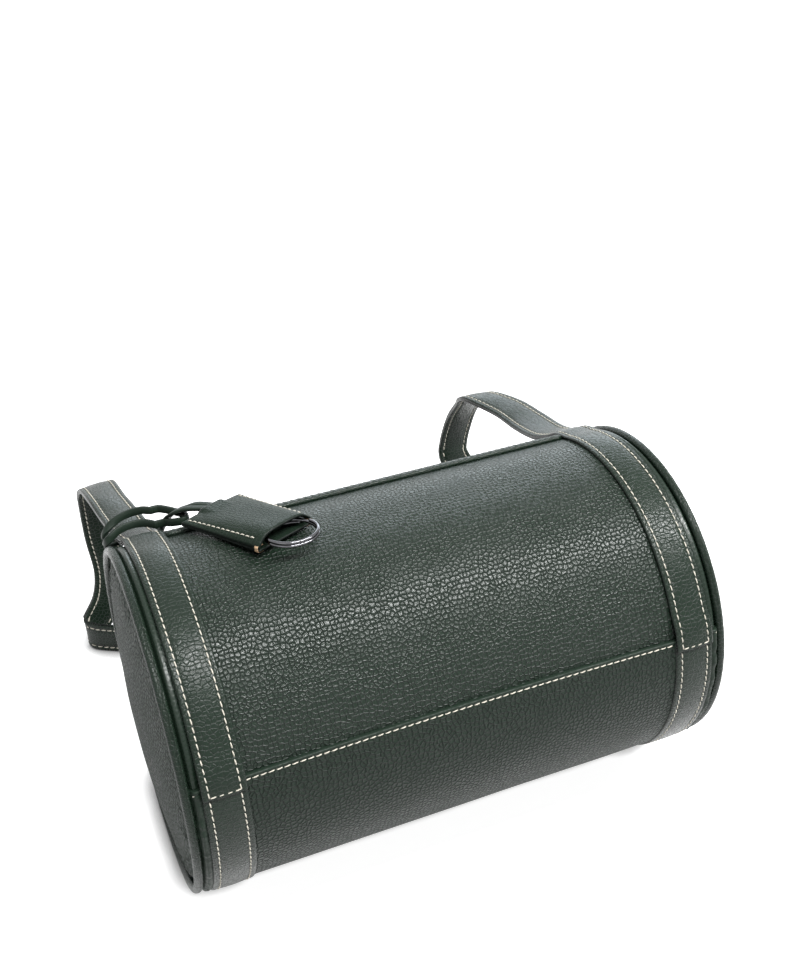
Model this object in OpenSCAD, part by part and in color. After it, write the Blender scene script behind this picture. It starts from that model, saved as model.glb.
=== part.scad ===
// Barrel shoulder bag of pebbled leather, lying rolled back on a table with its strap laid behind it.
// X runs along the barrel to its right end, Y away from the viewer, Z up.
// The origin is on the table under the middle of the barrel.

/* [Barrel] */
// Radius of the front and back panels' outer face
body_r = 83; // [70:0.5:100]
// Length of the barrel's side wall, without the bindings and the domed ends
body_len = 260.3; // [240:0.5:320]
// How far the bag has rolled back from upright, in degrees
roll_back = 39; // [30:1:45]
// How far the two base seams lie below the barrel's middle, in degrees
seam_drop = 16; // [10:1:25]
// Thickness of the body leather
leather_t = 1.4; // [1:0.1:2]
// Thickness of the fabric lining
lining_t = 0.6; // [0.4:0.1:1]
// Width of the patch of base on which the bag lies
rest_w = 24; // [16:1:30]

/* [Ends] */
// Thickness of the piping along the end seams
piping_d = 4.4; // [3.4:0.1:5.4]
// How far the end panels bulge out beyond their seams
dome_h = 7.2; // [4:0.2:10]
// Depth of the end panels' turned-in margin
margin_w = 9; // [7:0.5:12]

/* [Bands] */
// Width of the shoulder strap and of the bands that carry on from it
strap_w = 20; // [16:0.5:22]
// Thickness of the strap, its two leathers together
strap_t = 3.2; // [2.4:0.1:3.6]
// Thickness of the bands down the front and back
band_t = 1.8; // [1.2:0.1:2.2]
// Thickness of the bands across the base, which are pared thinner
base_band_t = 1; // [0.7:0.1:1.4]
// Bare width of body between each band and the piping
end_gap = 4; // [2:0.5:8]
// Length by which an upper band laps over the end of a base band
band_lap = 9; // [5:0.5:10]

/* [Zip] */
// Distance between one tooth and the next on the same tape
tooth_pitch = 2.5; // [2.2:0.1:3]
// Width of the closed chain of teeth
chain_w = 6.4; // [5.6:0.1:7]
// Distance from each end of the chain to the band beside it
chain_gap = 12.15; // [9.15:0.5:24.15]
// Width of each zip tape
tape_w = 13.5; // [12:0.5:16]
// Width of the leather facing along each side of the zip
facing_w = 7; // [5:0.5:9]
// Thickness of the facings, which are folded double
facing_t = 2.3; // [1.6:0.1:2.6]
// Gap between the two facings
mouth_w = 11; // [10.6:0.2:14]
// Length of the slider
slider_len = 11; // [9:0.5:13]
// Length of the leather pull on the slider
pull_len = 20; // [14:1:26]

/* [Tag] */
// Length of the tag's pouch
pouch_len = 53; // [44:1:60]
// Width of the pouch at its lace end
pouch_w = 37; // [34:0.5:40]
// Thickness of each of its two leathers
pouch_t = 1.3; // [1:0.1:1.6]
// How far the pouch's upper leather stands open at its mouth
mouth_rise = 6; // [5.9:0.1:7]
// Diameter of the key ring over its wire
ring_d = 26; // [22:0.5:28]
// Diameter of the key ring's wire
wire_d = 1.7; // [1.3:0.1:1.7]
// Width of the leather lace
lace_w = 3.6; // [2.8:0.1:4]
// Thickness of the leather lace
lace_t = 2.2; // [1.6:0.1:2.4]

/* [Hidden] */
$fn = 96;

// Clearance between leathers that lie on each other
seat = 0.05;
// Clearance between the strap and what it swings past
swing_gap = 0.3;
// How far cutting shapes run past what they cut
overrun = 1;

// Radii and angles of the barrel. Angles are measured about X from the back towards the zip, bag upright
panel_in_r = body_r - leather_t;
base_r = body_r + leather_t;
axis_z = base_r + base_band_t / 2;
zip_a = 90;
// How far the zip leans back from the top of the barrel as the bag lies
zip_lean = roll_back + 90 - zip_a;
front_seam_a = 180 + seam_drop;
back_seam_a = -seam_drop;
// Margin of the front and back panels under the base panel
seam_margin = 8;
body_half = body_len / 2;

// Bands
band_out = body_half - end_gap;
band_in = band_out - strap_w;
band_x = (band_in + band_out) / 2;
// How far the upper bands reach down past the base seams
lap_below = band_lap * 2 / 3;

// Zip
chain_half = band_in - chain_gap;
tape_t = 0.65;
tape_r = panel_in_r - seat - tape_t;
tape_gap = 2.6;
tape_half = band_in + seam_margin;
tooth_w = tooth_pitch * 0.46;
tooth_h = 2.4;
tooth_reach = tooth_pitch * 0.4;
tooth_r = tape_r + tape_t / 2;
facing_r = body_r + seat;
plate_t = 1.4;
slider_w = 9.4;
channel_w = chain_w + 2 * swing_gap;
channel_h = tooth_h + 2 * swing_gap;
slot_h = tape_t + 3 * swing_gap;
stop_len = 2.7;
stop_web = 0.7;
slider_x = -(chain_half - stop_len - slider_len / 2);
wedge_len = slider_len * 0.18;
chain_from = slider_x - slider_len / 2 + wedge_len + tooth_w;
pull_wire = 1.3;
pull_r = 3.2;
pull_w = 6;
pull_t = 1.6;
pull_eye = pull_wire / 2 + seat;
bail_w = 4.2;
bail_len = 2.2;
bail_bar = 1;
// Height of the pull ring's pivot above the barrel's axis, over the facings
pull_pivot_r = facing_r + facing_t + pull_eye + pull_t / 2 + swing_gap;

// Lining
lining_r = tape_r - 2;
lining_half = body_half - 1.4;
lip_a = asin(tape_w / tape_r);

// End panels
piping_r = body_r - piping_d / 6;
dome_r = piping_r - piping_d / 2 - seat;
seam_x = body_half + piping_d / 2 + seat;
dome_sphere_r = (dome_r * dome_r + dome_h * dome_h) / (2 * dome_h);
margin_t = 1;
end_board_t = 1.2;
piping_skin = 0.9;

// Strap
root_r = body_r + swing_gap + strap_t / 2;
root = [band_x, root_r * sin(zip_lean), axis_z + root_r * cos(zip_lean)];
floor_z = strap_w / 2 + swing_gap;
layer_gap = 0.05;
run_shares = 4;
// Left leg, from the root down to the table: x as a share of band_x, then distance behind the root
// and height above the table as shares of body_r, then the direction of the strap's width
left_leg_shares = [
    [-1.01, 0.28, 1.65, 1, 0, 0], [-1.03, 0.57, 1.57, 1, 0, 0], [-1.05, 0.87, 1.49, 1, 0, -0.1],
    [-1.06, 1.16, 1.38, 1, 0.1, 0], [-1.07, 1.28, 1.28, 1, 0.1, 0], [-1.07, 1.35, 1.14, 1, 0.1, 0],
    [-1.07, 1.36, 0.83, 1, 0.1, 0], [-1.06, 1.30, 0.53, 1, 0, 0],
    [-1.10, 1.26, 0.31, 0.85, 0, -0.5]];
// Right leg in the same form, from the table up to the root
right_leg_shares = [
    [0.96, 1.58, 0.55, -1, 0, -0.1], [0.96, 1.61, 0.69, -1, 0, 0], [0.98, 1.55, 0.97, -1, 0, 0],
    [0.97, 1.37, 1.22, -1, 0, 0], [0.95, 1.26, 1.33, -1, 0.1, 0], [0.95, 1.13, 1.41, -1, 0, 0],
    [1.00, 0.84, 1.48, -1, -0.2, -0.1], [1.01, 0.54, 1.55, -1, -0.1, -0.2],
    [1.00, 0.26, 1.65, -1, 0, -0.1]];
// Run along the table behind the bag, standing on its edge: x as a share of band_x and distance
// behind the root as a share of body_r
run_places_shares = [
    [-1.19, 1.20], [-1.23, 1.15], [-1.17, 1.07], [-0.95, 0.95], [-0.52, 0.87], [0, 0.85],
    [0.52, 0.92], [0.86, 1.14], [1.08, 1.34], [1.12, 1.43], [1.05, 1.52]];
// Heights of the run above standing on its edge, as shares of body_r
run_rise_shares = [0.04, 0.01, 0, 0, 0, 0, 0, 0, 0, 0.04, 0.19];

// Tag, in a frame of its own: X from the lace end to the mouth, Z out from the bag
tag_below_zip = 25;
tag_lean = zip_lean - tag_below_zip;
tag_turn = -63;
tag_x = -0.6 * band_x;
tag_r = body_r + pouch_t + 0.9;
tag_along = 6.6;
ring_out = 4;
pouch_mouth_share = 0.92;
ring_loop_t = 0.7;
ring_loop_w = 5;
ring_loop_gap = 0.15;
ring_loop_len = 14;
ring_h = 1.9 * wire_d;
ring_z = swing_gap + ring_loop_t + ring_loop_gap + ring_h / 2;
lace_room = 7.5;
lace_in = 6;
lace_side = lace_w / 2 + swing_gap / 2;
lace_z = lace_t / 2 + seat;
lace_steps = 3;
// The lace's routes from the strap's left root, in twentieths of the strap's width. It is knotted on
// the strap as a loop drawn over its own two strands, both of which go round the strap
lace_unit_share = 1 / 20;
far_wrap_shares = [
    [11, 20, 0.5], [9.8, 20, 0.5], [8.6, 20, 0.5], [4.5, 22.7, 0], [-2, 24.8, -1], [-8.5, 24.5, -3.5],
    [-13.9, 23, -9.5], [-14.4, 22.5, -14], [-11.4, 23.5, -17.5], [-3.5, 26, -19],
    [3.5, 25.6, -18.4], [8.6, 25, -17.8], [9.8, 25, -17.8], [11, 25, -17.8]];
near_wrap_shares = [
    [11, 9, 1.5], [9.8, 9, 1.5], [8.6, 9, 1.5], [4.5, 13, 0], [-1.5, 14.5, -1.5],
    [-8.5, 12.5, -2.5], [-14.5, 10, -4.5], [-16.4, 12, -8.5], [-15.2, 16.5, -13],
    [-10.5, 19.5, -15.8], [-3.5, 20.5, -16.3], [3.5, 19.8, -16], [8.6, 19.5, -15.8],
    [9.8, 19.5, -15.8], [11, 19.5, -15.8]];
far_strand_shares = [
    [11.3, 20, 0.5], [12.3, 20, 0.5], [13.3, 19.6, 0.8], [16.8, 13.2, 4.2], [21, 7.5, 7],
    [27.5, 5.5, 7.5], [33, 2.5, 8]];
near_strand_shares = [
    [11.3, 9, 1.5], [12.3, 9, 1.5], [13.3, 8.2, 2], [16, 2, 6], [19.5, -2.6, 8.7], [25, -1.4, 9],
    [29.5, -1.5, 9.2]];
knot_loop_shares = [
    [11.3, 25, -17.8], [12.3, 25, -17.8], [13.3, 25, -17], [15.7, 22.6, -7.5], [18.5, 17, 3],
    [21, 10.5, 9], [22, 3, 11.5], [21.8, -4, 12.2], [20.6, -7.8, 10.5], [19, -7, 7.6],
    [17.5, -3, 5.2], [16.2, 3.5, 1.6], [15, 12, -5], [13.3, 18.8, -14.8], [12.3, 19.5, -15.8],
    [11.3, 19.5, -15.8]];
// Directions of the loop's width along its route
knot_across_shares = [
    [0, 0.9, -0.4], [0, 0.9, -0.4], [0, 0.9, -0.2], [0.4, 0.8, 0.2], [0.9, 0.4, 0.2],
    [1, 0.1, 0.1], [1, 0, 0], [1, 0, 0], [1, 0, 0], [1, 0, 0],
    [1, 0.2, 0], [1, 0.4, 0], [0.8, 0.7, 0], [0.2, 1, -0.2], [0, 0.9, -0.4],
    [0, 0.9, -0.4]];

// Moves its children from the upright bag, with the barrel's middle at the origin, to where the bag lies
module lying() {
    translate([0, 0, axis_z]) rotate([-roll_back, 0, 0]) children();
}

// The same from a frame whose Z runs out through the middle of the zip
module at_zip() {
    lying() rotate([zip_a - 90, 0, 0]) children();
}

// Turns its children so that their Z runs along the barrel's X, with angle 0 at the back
module along_barrel() {
    rotate([90, 0, 90]) children();
}

// Curved plate of the barrel's wall between two radii, two stations along X and two angles
module wall_plate(r_in, r_out, x_from, x_to, a_from, a_to) {
    lying() along_barrel()
        rotate([0, 0, a_from])
            rotate_extrude(angle = a_to - a_from)
                translate([r_in, x_from]) square([r_out - r_in, x_to - x_from]);
}

// Angle about the barrel that a length along its wall covers
function wall_angle(length, r) = length / r * 180 / PI;

// Body leathers

module front_panel() {
    color("#26352d")
        wall_plate(panel_in_r, body_r, -body_half, body_half,
            zip_a + wall_angle(mouth_w / 2 + facing_w / 4, body_r),
            front_seam_a + wall_angle(seam_margin, body_r));
}

module back_panel() {
    color("#26352d")
        wall_plate(panel_in_r, body_r, -body_half, body_half,
            back_seam_a - wall_angle(seam_margin, body_r),
            zip_a - wall_angle(mouth_w / 2 + facing_w / 4, body_r));
}

// The base leather laps over the panels' lower edges, and sags to the table between the bands
module base_panel() {
    color("#223029") {
        wall_plate(body_r + seat, base_r, -body_half, body_half, front_seam_a, back_seam_a + 360);
        difference() {
            translate([-band_in + swing_gap, -rest_w / 2, 0])
                cube([2 * (band_in - swing_gap), rest_w, leather_t]);
            translate([-body_half, 0, axis_z]) rotate([0, 90, 0])
                cylinder(r = base_r - leather_t / 2, h = body_len);
        }
    }
}

// Stiffener in the base, between the lower edges of the two panels
module base_board() {
    board_edge = wall_angle(seam_margin, body_r) + wall_angle(seat, body_r);
    color("#8a7a63")
        wall_plate(panel_in_r, body_r, -body_half + seam_margin, body_half - seam_margin,
            front_seam_a + board_edge, back_seam_a - board_edge + 360);
}

// The lining is a closed fabric barrel with a long mouth, whose lips are sewn under the zip tapes
module lining() {
    lip_w = wall_angle(lining_t, lining_r);
    color("#2c2a28") {
        difference() {
            lying() rotate([0, 90, 0]) rotate_extrude() difference() {
                translate([0, -lining_half]) square([lining_r, 2 * lining_half]);
                translate([-lining_t, -lining_half + lining_t])
                    square([lining_r, 2 * lining_half - 2 * lining_t]);
            }
            wall_plate(lining_r - 3 * lining_t, tape_r, -tape_half + lining_t, tape_half - lining_t,
                zip_a - lip_a, zip_a + lip_a);
        }
        for (side = [-1, 1])
            wall_plate(lining_r - lining_t / 2, tape_r - seat, -tape_half, tape_half,
                zip_a + side * lip_a - lip_w / 2, zip_a + side * lip_a + lip_w / 2);
    }
}

// Ends of the barrel, drawn for the right end and mirrored for the left

module at_end(side) {
    if (side > 0) lying() children();
    else mirror([1, 0, 0]) lying() children();
}

// A shallow domed disc with its margin turned in behind the piping
module end_panel(side) {
    color("#2a3a32") at_end(side)
        rotate([0, 90, 0]) rotate_extrude() {
            intersection() {
                translate([0, seam_x + dome_h - dome_sphere_r]) difference() {
                    circle(r = dome_sphere_r, $fn = 720);
                    circle(r = dome_sphere_r - leather_t, $fn = 720);
                }
                translate([0, seam_x - 2 * leather_t]) square([dome_r, dome_h + 3 * leather_t]);
            }
            translate([dome_r - margin_t, seam_x - margin_w]) square([margin_t, margin_w]);
        }
}

module end_board(side) {
    color("#8a7a63") at_end(side)
        translate([lining_half + seat, 0, 0]) rotate([0, 90, 0])
            cylinder(r = dome_r - margin_t - seat, h = end_board_t);
}

// Leather folded round a cord, sewn into the end seam
module binding(side) {
    color("#24332b") at_end(side)
        translate([body_half + seat + piping_d / 2, 0, 0]) rotate([0, 90, 0])
            rotate_extrude() translate([piping_r, 0]) difference() {
                circle(d = piping_d);
                circle(d = piping_d - 2 * piping_skin);
            }
}

module piping_core(side) {
    color("#d8d2c4") at_end(side)
        translate([body_half + seat + piping_d / 2, 0, 0]) rotate([0, 90, 0])
            rotate_extrude() translate([piping_r, 0])
                circle(d = piping_d - 2 * piping_skin - 2 * seat);
}

// Bands

// An upper band ends in a stepped lap over the base band. It is drawn on the front
module upper_band(x_from, top_a) {
    step_r = base_r + base_band_t + seat;
    lap_t = base_band_t * 1.2;
    seam_edge_a = front_seam_a - wall_angle(swing_gap, body_r);
    riser_a = seam_edge_a - wall_angle(band_t, body_r);
    wall_plate(body_r + seat, body_r + band_t, x_from, x_from + strap_w, top_a, seam_edge_a);
    wall_plate(body_r + seat, step_r + lap_t, x_from, x_from + strap_w, riser_a, seam_edge_a);
    wall_plate(step_r, step_r + lap_t, x_from, x_from + strap_w, riser_a,
        front_seam_a + wall_angle(lap_below, base_r));
}

module front_band(side) {
    color("#2b3a32")
        upper_band(side > 0 ? band_in : -band_out, zip_a + wall_angle(strap_t / 2 + swing_gap, root_r));
}

// The back band is the front band's mirror image, and starts where the strap has lifted clear of it
module back_band(side) {
    color("#2b3a32")
        translate([0, 0, axis_z]) rotate([-roll_back, 0, 0]) mirror([0, 1, 0])
            rotate([roll_back, 0, 0]) translate([0, 0, -axis_z])
                upper_band(side > 0 ? band_in : -band_out, 180 - zip_a + wall_angle(strap_w, root_r));
}

// The base bands are cut off level with the table where the bag lies
module base_band(side) {
    color("#27362e") difference() {
        wall_plate(base_r + seat, base_r + base_band_t,
            side > 0 ? band_in : -band_out, side > 0 ? band_out : -band_in,
            front_seam_a, back_seam_a + 360);
        translate([-body_half, -body_half, -2 * body_r])
            cube([body_len, body_len, 2 * body_r]);
    }
}

// Zip

module zip_facing(side) {
    near = wall_angle(mouth_w / 2, body_r);
    far = wall_angle(mouth_w / 2 + facing_w, body_r);
    color("#22312a")
        wall_plate(facing_r, facing_r + facing_t, -band_in + swing_gap, band_in - swing_gap,
            side > 0 ? zip_a + near : zip_a - far, side > 0 ? zip_a + far : zip_a - near);
}

module zip_tape(side) {
    near = wall_angle(tape_gap / 2, tape_r);
    far = wall_angle(tape_gap / 2 + tape_w, tape_r);
    color("#1d2823")
        wall_plate(tape_r, tape_r + tape_t, -tape_half, tape_half,
            side > 0 ? zip_a + near : zip_a - far, side > 0 ? zip_a + far : zip_a - near);
}

// One tooth seen from above, reaching over the middle line to mesh with its neighbours. It has a
// wide head, a narrow neck and two feet that clamp the tape. Places are shares of its own sizes
module tooth() {
    foot = chain_w / 2;
    half = tooth_w / 2;
    head_shares = [[-1, 0.62], [-0.9, 0.86], [-0.55, 1], [-0.1, 1], [0.5, 0.62], [1.1, 0.62]];
    outline = [for (p = head_shares) [p[1] * half, p[0] * tooth_reach]];
    left_side = [for (i = [len(outline) - 1:-1:0]) [-outline[i][0], outline[i][1]]];
    difference() {
        translate([0, 0, -tooth_h / 2]) linear_extrude(tooth_h)
            polygon(concat(outline, [[half, foot * 0.6], [half, foot], [-half, foot],
                [-half, foot * 0.6]], left_side));
        translate([-tooth_w, tape_gap / 2 - seat, -tape_t / 2 - seat])
            cube([2 * tooth_w, chain_w, tape_t + 2 * seat]);
    }
}

// The teeth of one side. Those of the other side stand half a pitch along
module zip_teeth(side) {
    count = floor((chain_half - chain_from) / tooth_pitch);
    start = chain_from + (side > 0 ? 0 : tooth_pitch / 2);
    color("#4a4b4d") at_zip() for (i = [0:count - 1])
        translate([start + i * tooth_pitch, 0, tooth_r])
            rotate([0, 0, side > 0 ? 180 : 0]) tooth();
}

// Two top stops at the closed end, one on each tape, and a bottom stop across both at the other
module zip_stops() {
    color("#4a4b4d") at_zip() {
        for (side = [0, 1])
            mirror([0, side, 0])
                translate([-chain_half - seat, tape_gap / 2 - stop_web, tooth_r - tooth_h / 2])
                    difference() {
                        cube([stop_len - swing_gap, stop_len, tooth_h]);
                        translate([-overrun, stop_web - seat, tooth_h / 2 - tape_t / 2 - seat])
                            cube([stop_len + 2 * overrun, 2 * stop_len, tape_t + 2 * seat]);
                    }
        translate([chain_half + stop_len, 0, tooth_r]) difference() {
            cube([stop_len, chain_w, tooth_h], center = true);
            for (side = [-1, 1])
                translate([0, side * (tape_gap / 2 + chain_w / 2 - seat), 0])
                    cube([2 * stop_len, chain_w, tape_t + 2 * seat], center = true);
        }
    }
}

// Slider in its own frame: X along the zip towards the closed chain, Z out from the bag.
// Two plates with side walls are joined by the wedge that parts the teeth
module slider_body() {
    shoulder = slider_len * 0.3;
    outline = [[-slider_len / 2, slider_w * 0.28], [-slider_len / 2 + shoulder, slider_w / 2],
        [slider_len / 2, slider_w / 2]];
    full = concat(outline, [for (i = [2:-1:0]) [outline[i][0], -outline[i][1]]]);
    difference() {
        translate([0, 0, -channel_h / 2 - plate_t])
            linear_extrude(channel_h + 2 * plate_t) polygon(full);
        translate([-slider_len, -channel_w / 2, -channel_h / 2])
            cube([2 * slider_len, channel_w, channel_h]);
        translate([-slider_len, -slider_w, -slot_h / 2])
            cube([2 * slider_len, 2 * slider_w, slot_h]);
    }
    translate([-slider_len / 2, -tape_gap / 2 + swing_gap, -channel_h / 2 - plate_t / 2])
        cube([wedge_len, tape_gap - 2 * swing_gap, channel_h + plate_t]);
    // The bail is a raised arch over the pull ring
    pivot_h = pull_pivot_r - tooth_r;
    eye_half = pull_wire / 2 + swing_gap;
    difference() {
        translate([-bail_len / 2, -bail_w / 2, channel_h / 2 + plate_t / 2])
            cube([bail_len, bail_w, pivot_h + eye_half + bail_bar - channel_h / 2 - plate_t / 2]);
        translate([-bail_len, -eye_half - seat, pivot_h - eye_half])
            cube([2 * bail_len, 2 * (eye_half + seat), 2 * eye_half]);
    }
}

module zip_slider() {
    color("#55565a") at_zip() translate([slider_x, 0, tooth_r]) slider_body();
}

// The pull ring lies back over the rear facing from the slider's bail, and turns about X
module at_pull() {
    at_zip() translate([slider_x, 0, pull_pivot_r]) children();
}

module zip_pull_ring() {
    color("#55565a") at_pull() translate([0, pull_r, 0])
        rotate_extrude() translate([pull_r, 0]) circle(d = pull_wire, $fn = 24);
}

// A leather strip folded round the pull ring and sewn to itself
module zip_pull_tab() {
    color("#26352d") at_pull() difference() {
        union() {
            translate([-pull_w / 2, 2 * pull_r, -pull_t / 2]) cube([pull_w, pull_len, pull_t]);
            translate([0, 2 * pull_r, 0]) rotate([0, 90, 0])
                cylinder(r = pull_eye + pull_t / 2, h = pull_w * 0.7, center = true, $fn = 32);
        }
        translate([0, pull_r, 0])
            rotate_extrude() translate([pull_r, 0]) circle(r = pull_eye, $fn = 24);
    }
}

// Strap

// Smooth curve through a list of points, with a number of steps from each to the next
function spline(p, steps) = [
    for (i = [0:len(p) - 2]) for (k = [0:steps - 1])
        let (t = k / steps, a = p[max(i - 1, 0)], b = p[i], c = p[i + 1],
             d = p[min(i + 2, len(p) - 1)])
        (2 * b + (c - a) * t + (2 * a - 5 * b + 4 * c - d) * t * t
            + (3 * b - a - 3 * c + d) * t * t * t) / 2,
    p[len(p) - 1]];
function unit(v) = v / norm(v);
function heading(p, i) = unit(p[min(i + 1, len(p) - 1)] - p[max(i - 1, 0)]);
function across(w, t) = unit(w - (w * t) * t);

// A body of closed rings that all have the same even number of points, as one solid. Its two faces
// are split along the same diagonals, so that two bodies laid on each other follow each other
module skin(rings) {
    n = len(rings[0]);
    last = len(rings) - 1;
    points = [for (r = rings) for (q = r) q];
    sides = [for (i = [0:last - 1]) for (k = [0:n - 1]) for (half = [0, 1])
        let (a = i * n + k, b = i * n + (k + 1) % n, split = k < n / 2 ? b + n : a + n)
        half == 0 ? [a, b, split] : [split == a + n ? b : a, b + n, a + n]];
    caps = [for (k = [0:n / 2 - 2]) for (end = [0, 1]) for (half = [0, 1])
        let (c = end * last * n, far = n - 1 - k,
             tri = half == 0 ? [c + far, c + far - 1, c + k + 1] : [c + far, c + k + 1, c + k])
        end == 0 ? tri : [tri[2], tri[1], tri[0]]];
    polyhedron(points = points, faces = concat(sides, caps));
}

// Strip with a rectangular section along a centre line, between two heights along its outward face
module strip(line, widths, w, low, high) {
    rings = [for (i = [0:len(line) - 1])
        let (t = heading(line, i), s = across(widths[i], t), n = cross(s, t))
        [line[i] - s * w / 2 + n * low, line[i] - s * w / 2 + n * high,
         line[i] + s * w / 2 + n * high, line[i] + s * w / 2 + n * low]];
    skin(rings);
}

function leg_place(s) = [s[0] * band_x, root[1] + s[1] * body_r, s[2] * body_r];
root_heading = [0, cos(zip_lean), -sin(zip_lean)];
strap_points = concat(
    [[-root[0], root[1], root[2]], [-root[0], root[1], root[2]] + root_heading * strap_w / 2],
    [for (s = left_leg_shares) leg_place(s)],
    [for (i = [0:len(run_places_shares) - 1])
        [run_places_shares[i][0] * band_x, root[1] + run_places_shares[i][1] * body_r,
         floor_z + run_rise_shares[i] * body_r]],
    [for (s = right_leg_shares) leg_place(s)],
    [root + root_heading * strap_w / 2, root]);
strap_widths = concat(
    [[1, 0, 0], [1, 0, 0]],
    [for (s = left_leg_shares) [s[3], s[4], s[5]]],
    [for (i = [0:len(run_places_shares) - 1])
        i == 0 ? [0.45, 0, -0.9] : i == len(run_places_shares) - 1 ? [-0.6, 0, -0.8] : [0, 0, -1]],
    [for (s = right_leg_shares) [s[3], s[4], s[5]]],
    [[-1, 0, 0], [-1, 0, 0]]);
strap_line = spline(strap_points, run_shares);
strap_across = spline(strap_widths, run_shares);

module strap_face() {
    color("#2b3a32") strip(strap_line, strap_across, strap_w, layer_gap / 2, strap_t / 2);
}

module strap_backing() {
    color("#26352d") strip(strap_line, strap_across, strap_w, -strap_t / 2, -layer_gap / 2);
}

// Tag

// Moves its children from the tag's own frame to where it lies on the bag
module on_bag() {
    translate([tag_x, 0, axis_z]) rotate([-tag_lean, 0, 0])
        translate([0, tag_along, tag_r]) rotate([0, 0, tag_turn]) children();
}

// The same move for a point, and for a direction
function on_bag_turned(p) =
    let (x = p[0] * cos(tag_turn) - p[1] * sin(tag_turn),
         y = p[0] * sin(tag_turn) + p[1] * cos(tag_turn))
    [x, y * cos(tag_lean) + p[2] * sin(tag_lean), -y * sin(tag_lean) + p[2] * cos(tag_lean)];
tag_middle = [tag_x, 0, axis_z] + [0, tag_along * cos(tag_lean) + tag_r * sin(tag_lean),
    -tag_along * sin(tag_lean) + tag_r * cos(tag_lean)];
function on_bag_point(p) = tag_middle + on_bag_turned(p);

function clamp(v) = max(0, min(1, v));

// One leather of the pouch. Its sides narrow to the mouth. The upper one stands open there, and
// leaves room for the lace at the other end
module pouch_leather(rise, room) {
    steps = 12;
    half_l = pouch_len / 2;
    function half_w(u) = pouch_w / 2 * (1 - (1 - pouch_mouth_share) * u);
    function lifted(u, v) = max(rise * pow(u, 0.6) * (1 - pow(abs(v), 6)),
        room * clamp((0.5 - u) / 0.3) * clamp((lace_room + 1.5 - abs(v) * half_w(u)) / 2.6));
    rings = [for (i = [0:steps])
        let (u = i / steps, x = -half_l + pouch_len * u)
        concat(
            [for (k = [-steps:2:steps]) let (v = k / steps) [x, v * half_w(u), lifted(u, v)]],
            [for (k = [steps:-2:-steps]) let (v = k / steps)
                [x, v * half_w(u), lifted(u, v) + pouch_t]])];
    skin(rings);
}

module tag_top_leather() {
    color("#26352d") on_bag() translate([0, 0, seat / 2])
        pouch_leather(mouth_rise, lace_t + 2 * seat);
}

module tag_bottom_leather() {
    color("#26352d") on_bag() translate([0, 0, -pouch_t - seat / 2]) pouch_leather(0, 0);
}

// A strip of leather round the ring's wire, whose tails are sewn between the pouch's leathers
module key_ring_loop() {
    bend = ring_h / 2 + ring_loop_gap;
    outer = bend + ring_loop_t;
    color("#24332b") on_bag()
        translate([pouch_len / 2 + ring_out - (ring_d - wire_d) / 2, ring_loop_w / 2, ring_z])
            rotate([90, 0, 0]) linear_extrude(ring_loop_w) difference() {
                union() {
                    circle(r = outer);
                    polygon([[0, outer], [-ring_loop_len, ring_loop_t - ring_z + swing_gap * 2],
                        [-ring_loop_len, swing_gap - ring_z], [0, -outer]]);
                }
                circle(r = bend);
                polygon([[0, bend], [-ring_loop_len * 0.6, ring_loop_t - ring_z + swing_gap * 2],
                    [0, -bend]]);
            }
}

// Split ring: two turns of wire that lie on each other
module key_ring() {
    r = (ring_d - wire_d) / 2;
    color("#6a6b6e") on_bag()
        translate([pouch_len / 2 + ring_out, 0, ring_z])
            rotate_extrude() for (turn = [-1, 1])
                translate([r, turn * (ring_h - wire_d) / 2]) circle(d = wire_d, $fn = 32);
}

// Lace, as a flat strand with rounded edges along a line
module strand(line, widths) {
    corners = [for (a = [22.5:45:359]) [cos(a) / cos(22.5), sin(a) / cos(22.5)]];
    rings = [for (i = [0:len(line) - 1])
        let (t = heading(line, i), s = across(widths[i], t), n = cross(s, t))
        [for (k = [0:7]) let (c = corners[(9 - k) % 8])
            line[i] + s * c[0] * lace_w / 2 + n * c[1] * lace_t / 2]];
    skin(rings);
}

left_root = [-root[0], root[1], root[2]];
function lace_line(p) = spline([for (q = p) left_root + q * strap_w * lace_unit_share], lace_steps);
function even(v, n) = [for (i = [0:n - 1]) v];

module tag_lace_loops() {
    wrap_across = [0, 0.9, -0.44];
    color("#24332b") for (route = [far_wrap_shares, near_wrap_shares]) {
        line = lace_line(route);
        strand(line, even(wrap_across, len(line)));
    }
}

// The two strands to the pouch, and the end of the loop drawn over them
module tag_lace() {
    along = [1, 0, 0];
    color("#24332b") {
        for (side = [-1, 1]) {
            way = [for (q = side > 0 ? far_strand_shares : near_strand_shares)
                left_root + q * strap_w * lace_unit_share];
            into = [for (d = [-lace_in / 3, 0, lace_in])
                on_bag_point([-pouch_len / 2 + d, side * lace_side, lace_z])];
            line = spline(concat(way, into), lace_steps);
            across_there = on_bag_turned([0, 1, 0]);
            widths = [for (i = [0:len(line) - 1])
                let (t = i / (len(line) - 1)) [0, 0.9, -0.44] * (1 - t) + across_there * t];
            strand(line, widths);
        }
        strand(lace_line(knot_loop_shares), spline(knot_across_shares, lace_steps));
    }
}

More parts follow.
